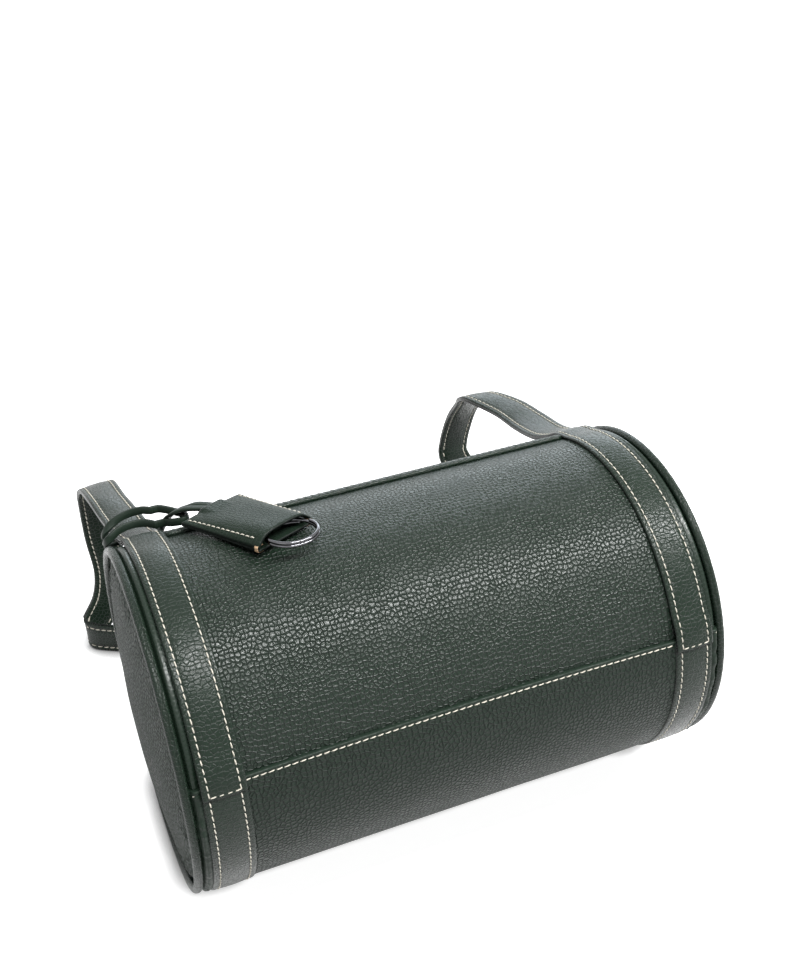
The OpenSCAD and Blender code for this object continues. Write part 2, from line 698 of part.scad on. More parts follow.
front_panel();
back_panel();
base_panel();
base_board();
lining();
end_panel(-1);  // left_end_panel
end_panel(1);  // right_end_panel
end_board(-1);  // left_end_board
end_board(1);  // right_end_board
binding(-1);  // left_binding
binding(1);  // right_binding
piping_core(-1);  // left_piping_core
piping_core(1);  // right_piping_core
front_band(-1);  // left_front_band
front_band(1);  // right_front_band
back_band(-1);  // left_back_band
back_band(1);  // right_back_band
base_band(-1);  // left_base_band
base_band(1);  // right_base_band
zip_facing(1);  // front_zip_facing
zip_facing(-1);  // back_zip_facing
zip_tape(1);  // front_zip_tape
zip_tape(-1);  // back_zip_tape
zip_teeth(1);  // front_zip_teeth
zip_teeth(-1);  // back_zip_teeth
zip_stops();
zip_slider();
zip_pull_ring();
zip_pull_tab();
strap_face();
strap_backing();
tag_lace_loops();
tag_lace();
tag_top_leather();
tag_bottom_leather();
key_ring_loop();
key_ring();
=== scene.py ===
import bpy
import math
from math import sin, cos, pi, radians
from mathutils import Matrix, Vector, noise


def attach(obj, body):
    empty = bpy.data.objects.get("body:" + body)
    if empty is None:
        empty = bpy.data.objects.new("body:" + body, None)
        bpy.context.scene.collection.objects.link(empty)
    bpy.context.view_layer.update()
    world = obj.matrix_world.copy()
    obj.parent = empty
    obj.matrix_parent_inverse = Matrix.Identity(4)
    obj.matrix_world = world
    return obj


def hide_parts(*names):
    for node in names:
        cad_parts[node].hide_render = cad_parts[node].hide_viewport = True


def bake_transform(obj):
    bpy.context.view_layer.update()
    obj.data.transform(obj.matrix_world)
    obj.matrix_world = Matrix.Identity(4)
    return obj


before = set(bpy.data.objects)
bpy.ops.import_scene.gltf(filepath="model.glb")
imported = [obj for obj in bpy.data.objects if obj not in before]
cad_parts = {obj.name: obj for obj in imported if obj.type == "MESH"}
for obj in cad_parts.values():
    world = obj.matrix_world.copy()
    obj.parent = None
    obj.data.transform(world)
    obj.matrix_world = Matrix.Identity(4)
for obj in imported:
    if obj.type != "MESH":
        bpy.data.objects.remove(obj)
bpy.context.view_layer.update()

# Sizes, in millimetres
MM = 0.001
R = 83.0  # outer radius of the front and back panels
LEATHER = 1.4
CLEAR = 0.05  # between two leathers
BASE_R = R + LEATHER
AXIS = 84.9  # height of the barrel's axis
HALF = 130.15  # half length of the wall
ZIP = 129.0  # angle of the zip about the barrel: 0 front, 90 top
FRONT_SEAM, BACK_SEAM = 23.0, -125.0  # angles of the base seams
BAND_IN, BAND_OUT = 106.15, 126.15
BAND_X = (BAND_IN + BAND_OUT) / 2
STRAP_T = 3.2
SEAM_X = 132.4  # where the end panels meet the wall
PIPE_R, PIPE_D = 82.27, 4.4
DOME_R, DOME_H = 80.0, 7.2
PITCH = 3.6  # from stitch to stitch
ROOT_R = R + 0.3 + STRAP_T / 2
ALONG_X = Vector((1, 0, 0))


def wall(x, phi, r):
    """A point at length x, angle phi and radius r of the barrel."""
    a = radians(phi)
    return Vector((x, -r * cos(a), AXIS + r * sin(a)))


def radial(phi):
    a = radians(phi)
    return Vector((0, -cos(a), sin(a)))


def tangent(phi):
    a = radians(phi)
    return Vector((0, sin(a), cos(a)))


def clamp(v):
    return max(0.0, min(1.0, v))


def smooth(a, b, t):
    """0 at a, 1 at b and a soft step between them."""
    t = clamp((t - a) / (b - a))
    return t * t * (3 - 2 * t)


def lump(p, size, seed=0.0):
    """Soft noise of about this size at a point."""
    return noise.noise(Vector(p) / size + Vector((seed, seed * 0.7, seed * 1.3)))


# Materials, with their sizes in metres
def new_mat(name):
    m = bpy.data.materials.new(name)
    m.use_nodes = True
    nt = m.node_tree
    nt.nodes.clear()
    out = nt.nodes.new("ShaderNodeOutputMaterial")
    bs = nt.nodes.new("ShaderNodeBsdfPrincipled")
    nt.links.new(bs.outputs[0], out.inputs[0])
    return m, nt, bs


def node(nt, kind, **kw):
    """A node with its settings. A name that begins with in_ sets that socket."""
    n = nt.nodes.new(kind)
    for k, v in kw.items():
        if k.startswith("in_"):
            n.inputs[k[3:].replace("_", " ")].default_value = v
        else:
            setattr(n, k, v)
    return n


def fed(nt, kind, socket, source, **kw):
    """A node with its settings, and one socket linked to a source."""
    n = node(nt, kind, **kw)
    nt.links.new(source, n.inputs[socket])
    return n


def math_node(nt, op, a, b, kind="ShaderNodeMath", second=1):
    """Two values, each a socket or a constant, put together. second is the socket that takes b."""
    n = node(nt, kind, operation=op)
    for socket, v in ((0, a), (second, b)):
        if isinstance(v, bpy.types.NodeSocket):
            nt.links.new(v, n.inputs[socket])
        else:
            n.inputs[socket].default_value = v
    return n.outputs[0]


def vector_node(nt, op, a, b, second=1):
    return math_node(nt, op, a, b, "ShaderNodeVectorMath", second)


def ramp(nt, source, stops):
    n = fed(nt, "ShaderNodeValToRGB", 0, source)
    el = n.color_ramp.elements
    while len(el) > 1:
        el.remove(el[-1])
    for i, (p, c) in enumerate(stops):
        e = el[0] if i == 0 else el.new(p)
        e.position = p
        e.color = (c, c, c, 1) if isinstance(c, (int, float)) else (*c, 1)
    return n.outputs[0]


def mix_colour(nt, factor, a, b):
    """Colour a, a socket, moved towards colour b, three numbers."""
    n = fed(nt, "ShaderNodeMix", "Factor", factor, data_type="RGBA")
    nt.links.new(a, n.inputs["A"])
    n.inputs["B"].default_value = (*b, 1)
    return n.outputs["Result"]


def map_range(nt, source, a, b, c, d):
    return fed(nt, "ShaderNodeMapRange", "Value", source, in_From_Min=a, in_From_Max=b, in_To_Min=c,
               in_To_Max=d).outputs["Result"]


def noise_node(nt, place, scale, detail, rough=0.5, distortion=0.0, output="Fac"):
    return fed(nt, "ShaderNodeTexNoise", "Vector", place, in_Scale=scale, in_Detail=detail,
               in_Roughness=rough, in_Distortion=distortion).outputs[output]


def bump(nt, bs, height, strength, distance):
    bp = fed(nt, "ShaderNodeBump", "Height", height, in_Strength=strength, in_Distance=distance)
    nt.links.new(bp.outputs[0], bs.inputs["Normal"])


GRAIN_WARP = 0.0009  # how far the cells' coordinate is moved
FINER = 1.45  # scale of the finer cracks, against the cells
EDGE_SHADE = 0.8  # colour of painted edges, against the leather's dark colour
PRESSED = 0.88  # share of the grain that is lost on edges and on calm places


def grain_group():
    """Pebbled grain from a surface coordinate in metres: height, a mask of painted shade in the creases,
    and broad tone.
    """
    g = bpy.data.node_groups.new("PebbledGrain", "ShaderNodeTree")
    for side, kind, names in (("INPUT", "Vector", ("Coord",)),
                              ("INPUT", "Float", ("Cell", "Stretch", "Crispness")),
                              ("OUTPUT", "Float", ("Height", "CreaseShade", "Tone"))):
        for name in names:
            g.interface.new_socket(name=name, in_out=side, socket_type="NodeSocket" + kind)
    given = g.nodes.new("NodeGroupInput").outputs
    wanted = g.nodes.new("NodeGroupOutput").inputs
    link = g.links.new
    # a small warp takes the regular shape from the cells
    warp = noise_node(g, given["Coord"], 420.0, 1.0, output="Color")
    centred = vector_node(g, "SUBTRACT", warp, (0.5, 0.5, 0.5))
    small = vector_node(g, "SCALE", centred, GRAIN_WARP, "Scale")
    moved = vector_node(g, "ADD", given["Coord"], small)
    inverse = math_node(g, "DIVIDE", 1.0, given["Cell"])
    per_cell = fed(g, "ShaderNodeCombineXYZ", 0, inverse)
    link(math_node(g, "MULTIPLY", inverse, given["Stretch"]), per_cell.inputs[1])
    cells = vector_node(g, "MULTIPLY", moved, per_cell.outputs[0])

    def voronoi(feature, scale, output):
        return fed(g, "ShaderNodeTexVoronoi", "Vector", cells, feature=feature,
                   voronoi_dimensions="2D", in_Scale=scale, in_Randomness=0.8).outputs[output]

    edge, cracks = [math_node(g, "MULTIPLY", voronoi("DISTANCE_TO_EDGE", scale, "Distance"),
                              given["Crispness"]) for scale in (1.0, FINER)]
    # steep at the crease and rounded on top, with finer cracks and its own height
    pebble = ramp(g, edge, [(0.0, 0.0), (0.05, 0.3), (0.12, 0.65), (0.23, 0.89), (0.45, 1.0)])
    fine_crack = ramp(g, cracks, [(0.0, 0.84), (0.06, 0.95), (0.12, 1.0)])
    own = map_range(g, voronoi("F1", 1.0, "Color"), 0.0, 1.0, 0.86, 1.06)
    fine = noise_node(g, given["Coord"], 2600.0, 3.0, 0.6)
    broad = noise_node(g, given["Coord"], 45.0, 3.0, 0.55)
    depth = map_range(g, broad, 0.3, 0.7, 0.75, 1.1)
    height = pebble
    for share in (fine_crack, own, depth):
        height = math_node(g, "MULTIPLY", height, share)
    height = math_node(g, "ADD", height, math_node(g, "MULTIPLY", fine, 0.12))
    # painted shade: darkest at the bottom of the creases between the pebbles
    crease_shade = ramp(g, edge, [(0.0, 0.9), (0.06, 0.6), (0.15, 0.15), (0.26, 0.0)])
    link(height, wanted["Height"])
    link(math_node(g, "MULTIPLY", crease_shade, depth), wanted["CreaseShade"])
    link(broad, wanted["Tone"])
    return g


GRAIN = grain_group()
GREEN = (0.0078, 0.0158, 0.0099)
PALE_GREEN = (0.0104, 0.0202, 0.0128)
# DEEP_GREEN is the painted shade in the grain's creases; the painted edges are a little darker still
DEEP_GREEN = (0.002, 0.004, 0.003)


def leather(name, cell, stretch=1.0, crisp=1.0, relief=0.0004, rough=(0.38, 0.6), crease_shade=0.85, spec=0.24,
            wrinkle=0.0):
    """Green leather with a pressed grain. The mesh marks its painted edges and its calm places."""
    m, nt, bs = new_mat(name)
    uv = node(nt, "ShaderNodeUVMap", uv_map="UVMap").outputs[0]
    grain = node(nt, "ShaderNodeGroup", node_tree=GRAIN, in_Cell=cell, in_Stretch=stretch,
                 in_Crispness=crisp)
    nt.links.new(uv, grain.inputs["Coord"])
    tone = ramp(nt, grain.outputs["Tone"], [(0.3, GREEN), (0.72, PALE_GREEN)])
    edge, calm = [node(nt, "ShaderNodeAttribute", attribute_name=mark).outputs["Fac"]
                  for mark in ("edge", "calm")]
    pressed = math_node(nt, "MULTIPLY", math_node(nt, "MAXIMUM", edge, calm), PRESSED)
    kept = math_node(nt, "SUBTRACT", 1.0, pressed)
    # painted shade: the creases are coloured towards DEEP_GREEN, less where the grain is pressed flat
    shaded = math_node(nt, "MULTIPLY", grain.outputs["CreaseShade"], math_node(nt, "MULTIPLY", kept, crease_shade))
    body = mix_colour(nt, shaded, tone, DEEP_GREEN)
    painted = mix_colour(nt, edge, body, tuple(v * EDGE_SHADE for v in DEEP_GREEN))
    nt.links.new(painted, bs.inputs["Base Color"])
    height = grain.outputs["Height"]
    nt.links.new(map_range(nt, height, 0.1, 1.1, rough[1], rough[0]), bs.inputs["Roughness"])
    bs.inputs["Specular IOR Level"].default_value = spec
    if wrinkle > 0:
        squeezed = fed(nt, "ShaderNodeMapping", "Vector", uv, in_Scale=(1.0, 2.6, 1.0))
        lines = noise_node(nt, squeezed.outputs[0], 260.0, 3.0, 0.6, 0.6)
        height = math_node(nt, "ADD", height, math_node(nt, "MULTIPLY", lines, wrinkle))
    bump(nt, bs, math_node(nt, "MULTIPLY", height, kept), 1.0, relief)
    return m


def thread_mat(name, shade, pale):
    m, nt, bs = new_mat(name)
    uv = node(nt, "ShaderNodeUVMap", uv_map="UVMap")
    twist = fed(nt, "ShaderNodeTexWave", "Vector", uv.outputs[0], wave_type="BANDS",
                bands_direction="DIAGONAL", in_Scale=900.0, in_Distortion=0.6).outputs["Fac"]
    # the darker bands lie in the grooves of the twist: painted shade
    nt.links.new(ramp(nt, twist, [(0.0, shade), (0.7, pale)]), bs.inputs["Base Color"])
    bs.inputs["Roughness"].default_value = 0.6
    bump(nt, bs, twist, 0.7, 0.0001)
    return m


def metal_mat(name, colour, rough, worn=0.00003):
    m, nt, bs = new_mat(name)
    place = node(nt, "ShaderNodeTexCoord").outputs["Object"]
    wear = noise_node(nt, place, 900.0, 4.0)
    tone = ramp(nt, wear, [(0.3, tuple(v * 0.86 for v in colour)), (0.7, colour)])
    nt.links.new(tone, bs.inputs["Base Color"])
    nt.links.new(map_range(nt, wear, 0.3, 0.7, rough * 0.75, rough * 1.3), bs.inputs["Roughness"])
    bs.inputs["Metallic"].default_value = 1.0
    bump(nt, bs, wear, 0.25, worn)
    return m


def weave_mat(name, low, high, scale):
    m, nt, bs = new_mat(name)
    place = node(nt, "ShaderNodeTexCoord").outputs["Object"]
    yarns = [fed(nt, "ShaderNodeTexWave", "Vector", place, bands_direction=way, in_Scale=scale,
                 in_Distortion=0.4).outputs["Fac"] for way in "XZ"]
    height = math_node(nt, "MAXIMUM", *yarns)
    # darker where the yarns lie low: painted shade between them
    nt.links.new(ramp(nt, height, [(0.2, low), (0.9, high)]), bs.inputs["Base Color"])
    bs.inputs["Roughness"].default_value = 0.85
    bump(nt, bs, height, 0.8, 0.0002)
    return m


BODY = leather("leather_body", cell=0.0022, crisp=1.1, relief=0.00036, rough=(0.19, 0.47), crease_shade=0.88,
               spec=0.30)
BASE = leather("leather_base", cell=0.0023, stretch=0.9, crisp=0.9, relief=0.00065, rough=(0.34, 0.62),
               crease_shade=0.9, spec=0.2)
BAND = leather("leather_band", cell=0.0025, stretch=1.2, crisp=1.8, relief=0.00017, rough=(0.19, 0.42),
               crease_shade=0.5, spec=0.25, wrinkle=1.1)
END = leather("leather_end", cell=0.0026, relief=0.0006, rough=(0.42, 0.75), crease_shade=0.9, spec=0.19)
TAG = leather("leather_tag", cell=0.0021, crisp=2.0, relief=0.00022, rough=(0.34, 0.55), crease_shade=0.6,
              spec=0.14, wrinkle=0.4)
LACE = leather("leather_lace", cell=0.0012, crisp=1.5, relief=0.00007, rough=(0.40, 0.55), crease_shade=0.3,
               wrinkle=0.4)
THREAD = thread_mat("thread", (0.40, 0.37, 0.31), (0.74, 0.70, 0.60))
DARK_THREAD = thread_mat("dark_thread", (0.008, 0.012, 0.010), (0.022, 0.032, 0.026))
TAN_THREAD = thread_mat("tan_thread", (0.36, 0.22, 0.12), (0.66, 0.47, 0.30))
ZIP_METAL = metal_mat("zip_metal", (0.30, 0.30, 0.31), 0.32)
RING_METAL = metal_mat("ring_metal", (0.15, 0.15, 0.16), 0.08, worn=0.000002)
TAPE = weave_mat("zip_tape", (0.010, 0.014, 0.012), (0.024, 0.032, 0.028), 420.0)
LINING = weave_mat("lining_fabric", (0.018, 0.017, 0.016), (0.035, 0.033, 0.030), 300.0)
BOARD = weave_mat("board", (0.22, 0.18, 0.13), (0.30, 0.25, 0.19), 90.0)
CORD = weave_mat("cord", (0.45, 0.42, 0.36), (0.62, 0.59, 0.52), 500.0)


# Meshes: points in millimetres, faces, and for each point a texture place and an edge mark
def make(name, mesh, mat, body, slot, *replaced, calm=None):
    """An object from a mesh, with its body and the CAD nodes it replaces. slot is not used. calm is per
    point.
    """
    verts, faces, uvs, edge = mesh
    me = bpy.data.meshes.new(name)
    me.from_pydata([tuple(v * MM for v in p) for p in verts], [], faces)
    me.validate()
    me.update()
    layer = me.uv_layers.new(name="UVMap")
    for loop, corner in zip(me.loops, layer.data):
        u, v = uvs[loop.vertex_index]
        corner.uv = (u * MM, v * MM)
    for mark, values in (("edge", edge), ("calm", calm)):
        if values is not None:
            at = me.attributes.new(mark, "FLOAT", "POINT")
            at.data.foreach_set("value", [float(e) for e in values])
    me.materials.append(mat)
    me.polygons.foreach_set("use_smooth", [True] * len(me.polygons))
    ob = bpy.data.objects.new(name, me)
    bpy.context.scene.collection.objects.link(ob)
    if body:
        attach(ob, body)
    if replaced:
        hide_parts(*replaced)
    return ob


def lengths(pts):
    """Distance of each point along their line."""
    out = [0.0]
    for a, b in zip(pts, pts[1:]):
        out.append(out[-1] + (b - a).length)
    return out


def sweep(rings, edges=None, closed=False):
    """Rings of the same number of points, joined. An open row of rings is closed by its two ends."""
    n = len(rings[0])
    verts = [p for r in rings for p in r]
    along = lengths([sum(r, Vector()) / n for r in rings])
    uvs = [(round_it, far) for r, far in zip(rings, along) for round_it in lengths(r)]
    faces = []
    last = len(rings)
    for i in range(last if closed else last - 1):
        j = (i + 1) % last
        for k in range(n):
            q = (k + 1) % n
            faces.append((i * n + k, i * n + q, j * n + q, j * n + k))
    if not closed:
        faces.append(tuple(range(n - 1, -1, -1)))
        faces.append(tuple((last - 1) * n + k for k in range(n)))
    edge = list(edges) * last if edges else [0.0] * len(verts)
    return verts, faces, uvs, edge


def join(parts):
    """Several meshes as one."""
    verts, faces, uvs, edge = [], [], [], []
    for v, f, u, e in parts:
        faces += [tuple(i + len(verts) for i in q) for q in f]
        verts += v
        uvs += u
        edge += e
    return verts, faces, uvs, edge


def slab_faces(nu, nv):
    """Faces of a closed sheet, of nu by nv points outside and then as many inside, and its rim."""
    o = nu * nv
    faces = []
    for i in range(nu - 1):
        for j in range(nv - 1):
            a, b, c, d = i * nv + j, (i + 1) * nv + j, (i + 1) * nv + j + 1, i * nv + j + 1
            faces += [(a, b, c, d), (o + d, o + c, o + b, o + a)]
    rim = [(i * nv, (i + 1) * nv) for i in range(nu - 1)]
    rim += [((i + 2) * nv - 1, (i + 1) * nv - 1) for i in range(nu - 1)]
    rim += [(j + 1, j) for j in range(nv - 1)]
    rim += [(o - nv + j, o - nv + j + 1) for j in range(nv - 1)]
    return faces + [(b, a, o + a, o + b) for a, b in rim], rim


def sheet(us, vs, top, thick):
    """A closed sheet over two lists of parameters. top(u, v) gives a point and its outward normal."""
    grid = [[top(u, v) for v in vs] for u in us]
    verts = [p for row in grid for p, n in row]
    verts += [p - n * thick for row in grid for p, n in row]
    along = lengths([row[len(vs) // 2][0] for row in grid])
    across = lengths([p for p, n in grid[len(us) // 2]])
    uvs = [(a, b) for a in along for b in across] * 2
    return verts, slab_faces(len(us), len(vs))[0], uvs, [0.0] * len(verts)


def spread(a, b, step):
    """Even steps of about this size from a to b."""
    n = max(1, int(round(abs(b - a) / step)))
    return [a + (b - a) * i / n for i in range(n + 1)]


# Stitches
STITCH_W, STITCH_H, STITCH_TILT = 0.31, 0.28, 0.1
# shares of a stitch's length, width and height from one end to the other
STITCH = ((-0.5, 0.35, -0.5), (-0.42, 0.75, 0.05), (-0.22, 1.0, 0.55), (0.0, 1.0, 0.7),
          (0.22, 1.0, 0.55), (0.42, 0.75, 0.05), (0.5, 0.35, -0.5))
SIXTHS = [k * pi / 3 for k in range(6)]


def stitch(p, t, n, length):
    """A plump thread lying in its hole, tilted a little to its seam."""
    d = (t + n.cross(t).normalized() * STITCH_TILT).normalized()
    s = n.cross(d).normalized()
    rings = []
    for f, w, h in STITCH:
        c = p + d * (f * length) + n * (h * STITCH_H)
        rings.append([c + s * (cos(a) * STITCH_W * w) + n * (sin(a) * STITCH_H * w) for a in SIXTHS])
    return sweep(rings)


def stitch_row(at, total, start=0.0, pitch=PITCH, length=2.85):
    """at(d) gives place, direction and normal at a distance along the seam."""
    return [stitch(*at(start + (i + 0.5) * pitch), length) for i in range(int((total - start) / pitch))]


# Barrel wall
WALL_WAVES = ((58, 3.1, 0.55), (27, 7.7, 0.22))  # size, seed and height of each wave
WAVES_FADE = 22.0  # length at the wall's ends over which its waves die out
WALL_STEP = 1.4  # degrees between the wall's points
WALL_TUCK = 5.0  # degrees that the wall runs on under the base
ZIP_GAP = 5.0  # degrees from the zip's middle to the wall's edge
BOW, BOW_HALF = 1.1, 108.0  # degrees that the base seams bow up, and half the length of that bow
# a soft roll between band and binding: distance in from the wall's end, and height there
ROLL = [(-1.3, -2.1), (-0.2, -2.0), (0.2, -1.5), (0.6, -0.75), (1.0, -0.15), (1.5, 0.3), (2.1, 0.5),
        (2.8, 0.45), (3.4, 0.2), (4.0, 0.0)]
ROLL_END = 5.5  # where the wall's even steps begin
WALL_X = ([d - HALF for d, h in ROLL] + spread(ROLL_END - HALF, HALF - ROLL_END, 3.0)
          + [HALF - d for d, h in reversed(ROLL)])


def waves(p, kinds):
    """Soft waves at a point, from their sizes, seeds and heights."""
    return sum(lump(p, size, seed) * height for size, seed, height in kinds)


def give(x, phi):
    """Softness of the filled wall: broad, shallow waves that die out towards the seams."""
    fade = smooth(HALF, HALF - WAVES_FADE, abs(x))
    if phi > 0:
        fade *= smooth(ZIP - 8, ZIP - 30, phi)
    return waves((x, phi * R * pi / 180, 0), WALL_WAVES) * fade


def seam_bow(x):
    """How far the base seams bow up at x, in degrees."""
    return max(0.0, 1.0 - (x / BOW_HALF) ** 2) * BOW


def between(table, x):
    """Height at x in a table of places and heights."""
    for (x0, h0), (x1, h1) in zip(table, table[1:]):
        if x0 <= x <= x1:
            return h0 + (h1 - h0) * (x - x0) / (x1 - x0)
    return table[0][1] if x < table[0][0] else table[-1][1]


def rolled(x, r):
    """The wall's radius r, with the roll at its ends."""
    return r + between(ROLL, HALF - abs(x))


def calm_ends(verts):
    """The grain is pressed flat on the rolls at the wall's two ends."""
    return [smooth(BAND_OUT - 3, BAND_OUT + 1, abs(p.x)) for p in verts]


def wall_top(x, phi):
    return wall(x, phi, rolled(x, R) + give(x, phi)), radial(phi)


def wall_panel(name, phi_a, phi_b):
    mesh = sheet(WALL_X, spread(phi_a, phi_b, WALL_STEP), wall_top, LEATHER)
    make(f"{name}_skin", mesh, BODY, "bag", "body_leather", name, calm=calm_ends(mesh[0]))


wall_panel("front_panel", ZIP - ZIP_GAP, FRONT_SEAM - WALL_TUCK)
wall_panel("back_panel", 360 + BACK_SEAM + WALL_TUCK, ZIP + ZIP_GAP)


# Base, with folded edges that are stitched down along both seams
BASE_TOTAL = (FRONT_SEAM - BACK_SEAM) * pi / 180 * BASE_R
# a plump fold, pressed down by its stitches: distance from the fold, and height there
FOLD = [(0.0, -1.25), (0.12, -0.45), (0.35, 0.15), (0.7, 0.48), (1.1, 0.56), (1.5, 0.42), (1.8, 0.16),
        (2.1, -0.04), (2.5, -0.04), (2.9, 0.12), (3.5, 0.26), (4.4, 0.22), (5.6, 0.1), (7.2, 0.0)]
FOLD_KEPT = 20.0  # width along each fold that keeps its true distance from it
FOLD_END = 9.0  # where the base's even steps begin
BASE_ALONG = ([d for d, h in FOLD] + spread(FOLD_END, BASE_TOTAL - FOLD_END, 1.2)
              + [BASE_TOTAL - d for d, h in reversed(FOLD)])
SINK = 0.55  # how far the leather settles on the table


def pleat(x, phi):
    """Small pleats where the base is drawn round its ends."""
    fade = smooth(BAND_OUT, HALF - 2, abs(x))
    return lump((x * 0.15, phi * R * pi / 180, 0), 2.4, 12.0) * 0.9 * fade


def settled(p, x):
    """A point of the base at length x, laid flat where it rests on the table."""
    if abs(p.y) < 40 and p.z < 20:
        p.z -= SINK * (1 - smooth(8, 34, abs(p.y))) * smooth(HALF - 2, BAND_IN - 6, abs(x))
    p.z = max(p.z, 0.0)
    return p


def from_fold(s, total):
    """Distance from the front fold on a base this wide. Only its middle stretches with the bow."""
    if s < FOLD_KEPT:
        return s
    if s > BASE_TOTAL - FOLD_KEPT:
        return total - (BASE_TOTAL - s)
    return FOLD_KEPT + (s - FOLD_KEPT) * (total - 2 * FOLD_KEPT) / (BASE_TOTAL - 2 * FOLD_KEPT)


def base_top(x, s):
    phi0, phi1 = FRONT_SEAM + seam_bow(x), BACK_SEAM - seam_bow(x)
    total = (phi0 - phi1) * pi / 180 * BASE_R
    d = from_fold(s, total)
    phi = phi0 + (phi1 - phi0) * d / total
    near = min(d, total - d)
    r = rolled(x, BASE_R) + between(FOLD, near) + pleat(x, phi) + give(x, phi) * 0.7 * smooth(0, 12, near)
    return settled(wall(x, phi, r), x), radial(phi)


def base_panel():
    mesh = sheet(WALL_X, BASE_ALONG, base_top, LEATHER * 0.9)
    both_faces = BASE_ALONG * len(WALL_X) * 2
    calm = [max(c, 1 - smooth(1.7, 4.5, min(d, BASE_TOTAL - d)))
            for c, d in zip(calm_ends(mesh[0]), both_faces)]
    make("base_skin", mesh, BASE, "bag", "body_leather", "base_panel", calm=calm)


base_panel()


# End panels and their bindings
AROUND = 288  # points round an end
END_RADII = [0.0, 4, 8, 13, 18, 23, 28, 33, 38, 43, 48, 53, 58, 62, 66, 69.5, 72.5, 75, 77, 78.4, 79.3,
             79.85, 80.0]
END_WAVES = ((34, 5.0, 0.5), (15, 9.0, 0.18))
END_MARGIN = 9.0  # leather turned in behind the piping
BINDING_SIDES = 14


def end_point(side, r, a):
    """The domed end: softly wavy, and gathered a little into its seam."""
    k = r / DOME_R
    x = SEAM_X - 0.6 + (DOME_H + 0.2) * (1 - k ** 2.3) - 2.6 * smooth(0.955, 1.0, k) ** 1.5
    x += waves((r * cos(a), r * sin(a), side * 50), END_WAVES) * smooth(1.0, 0.82, k)
    gather = lump((a * DOME_R, r * 0.12, side * 30), 3.2, 8.0)
    x += gather * smooth(0.76, 0.9, k) * smooth(0.995, 0.94, k)
    return Vector((side * x, -r * cos(a), AXIS + r * sin(a)))


def end_panel(side, name):
    angles = [2 * pi * k / AROUND for k in range(AROUND)]
    verts = [end_point(side, 0, 0)]
    uvs = [(0.0, 0.0)]
    for r in END_RADII[1:]:
        verts += [end_point(side, r, a) for a in angles]
        uvs += [(r * cos(a), r * sin(a)) for a in angles]
    flat = DOME_R + END_MARGIN
    verts += [Vector((side * (SEAM_X - END_MARGIN), -DOME_R * cos(a), AXIS + DOME_R * sin(a)))
              for a in angles]
    uvs += [(flat * cos(a), flat * sin(a)) for a in angles]
    faces = [(0, 1 + k, 1 + (k + 1) % AROUND) for k in range(AROUND)]
    for i in range(len(END_RADII) - 1):
        for k in range(AROUND):
            a, b = 1 + i * AROUND + k, 1 + i * AROUND + (k + 1) % AROUND
            faces.append((a, a + AROUND, b + AROUND, b))
    if side > 0:
        faces = [face[::-1] for face in faces]
    make(f"{name}_end_skin", (verts, faces, uvs, [0.0] * len(verts)), END, "bag", "body_leather",
         f"{name}_end_panel")


def binding(side, name):
    """Leather over a cord: a little uneven, and flat where it meets the table."""
    rings = []
    for k in range(AROUND):
        a = 2 * pi * k / AROUND
        c = Vector((side * (SEAM_X + 0.02), -PIPE_R * cos(a), AXIS + PIPE_R * sin(a)))
        out = Vector((0, -cos(a), sin(a)))
        radius = PIPE_D / 2 * (1 + 0.012 * sin(a * 72) + 0.03 * lump((c.y, c.z, side * 9), 9, 2.0))
        ring = [c + out * (cos(b) * radius) + Vector((side * sin(b) * radius, 0, 0))
                for b in [2 * pi * j / BINDING_SIDES for j in range(BINDING_SIDES)]]
        ring = [Vector((q.x, q.y, max(q.z, 0.25))) for q in ring]
        rings.append(ring if side > 0 else ring[::-1])
    make(f"{name}_binding_skin", sweep(rings, closed=True), BAND, "bag", "body_leather",
         f"{name}_binding")


for side, name in ((-1, "left"), (1, "right")):
    end_panel(side, name)
    binding(side, name)


# Bands
# half of a band's section: distance from its middle, and height as a share of its thickness
HALF_SECTION = [(10.0, 0.0), (10.0, 0.35), (9.9, 0.6), (9.65, 0.8), (9.2, 0.93), (8.6, 0.99), (8.0, 0.96),
                (7.5, 0.86), (7.0, 0.76), (6.5, 0.87), (5.9, 1.0), (5.0, 1.09), (3.4, 1.18), (1.2, 1.23)]
SECTION = [(-s, h) for s, h in HALF_SECTION] + [(s, h) for s, h in reversed(HALF_SECTION)]
SECTION_EDGE = [1.0 if abs(s) > 9.9 else 0.35 if abs(s) > 9.6 else 0.0 for s, h in SECTION]
LAP = 4.1  # degrees that an upper band laps over the end of the base band
LAP_RISE = 15.0  # length over which an upper band rises to lap the base band
BACK_END = 360 + BACK_SEAM  # the back seam's angle, counted up from the front
BACK_BAND_TOP = 142.5  # the angle where the back band ends under the zip's facing


def band_ring(c, w, n, low, high):
    """Ring across a band: c its middle on the surface, w across, n outward."""
    return [c + w * s + n * (low + (high - low) * h) for s, h in SECTION]


def lap_low(phi, seam, sign):
    """Underside of an upper band as it rides up over the end of the base band."""
    d = sign * (phi - seam) * pi / 180 * R
    return R + CLEAR + (BASE_R + 1.05 - R) * (1 - smooth(-0.5, LAP_RISE, d))


def lap_high(phi, seam, sign):
    """Its top, which thins out towards its own end."""
    d = sign * (phi - seam) * pi / 180 * R
    end = sign * (phi - (seam - sign * LAP)) * pi / 180 * R
    return (lap_low(phi, seam, sign) + 1.72 - 0.5 * (1 - smooth(0.0, 6, d))
            - 0.7 * (1 - smooth(0.0, 0.7, end)) ** 2)


def lap_steps(a, b):
    """Angles along an upper band, close together at its end a."""
    way = 1 if b > a else -1
    return [a, a + way * 0.15, a + way * 0.4, a + way * 0.8] + spread(a + way * 1.3, b, 1.1)


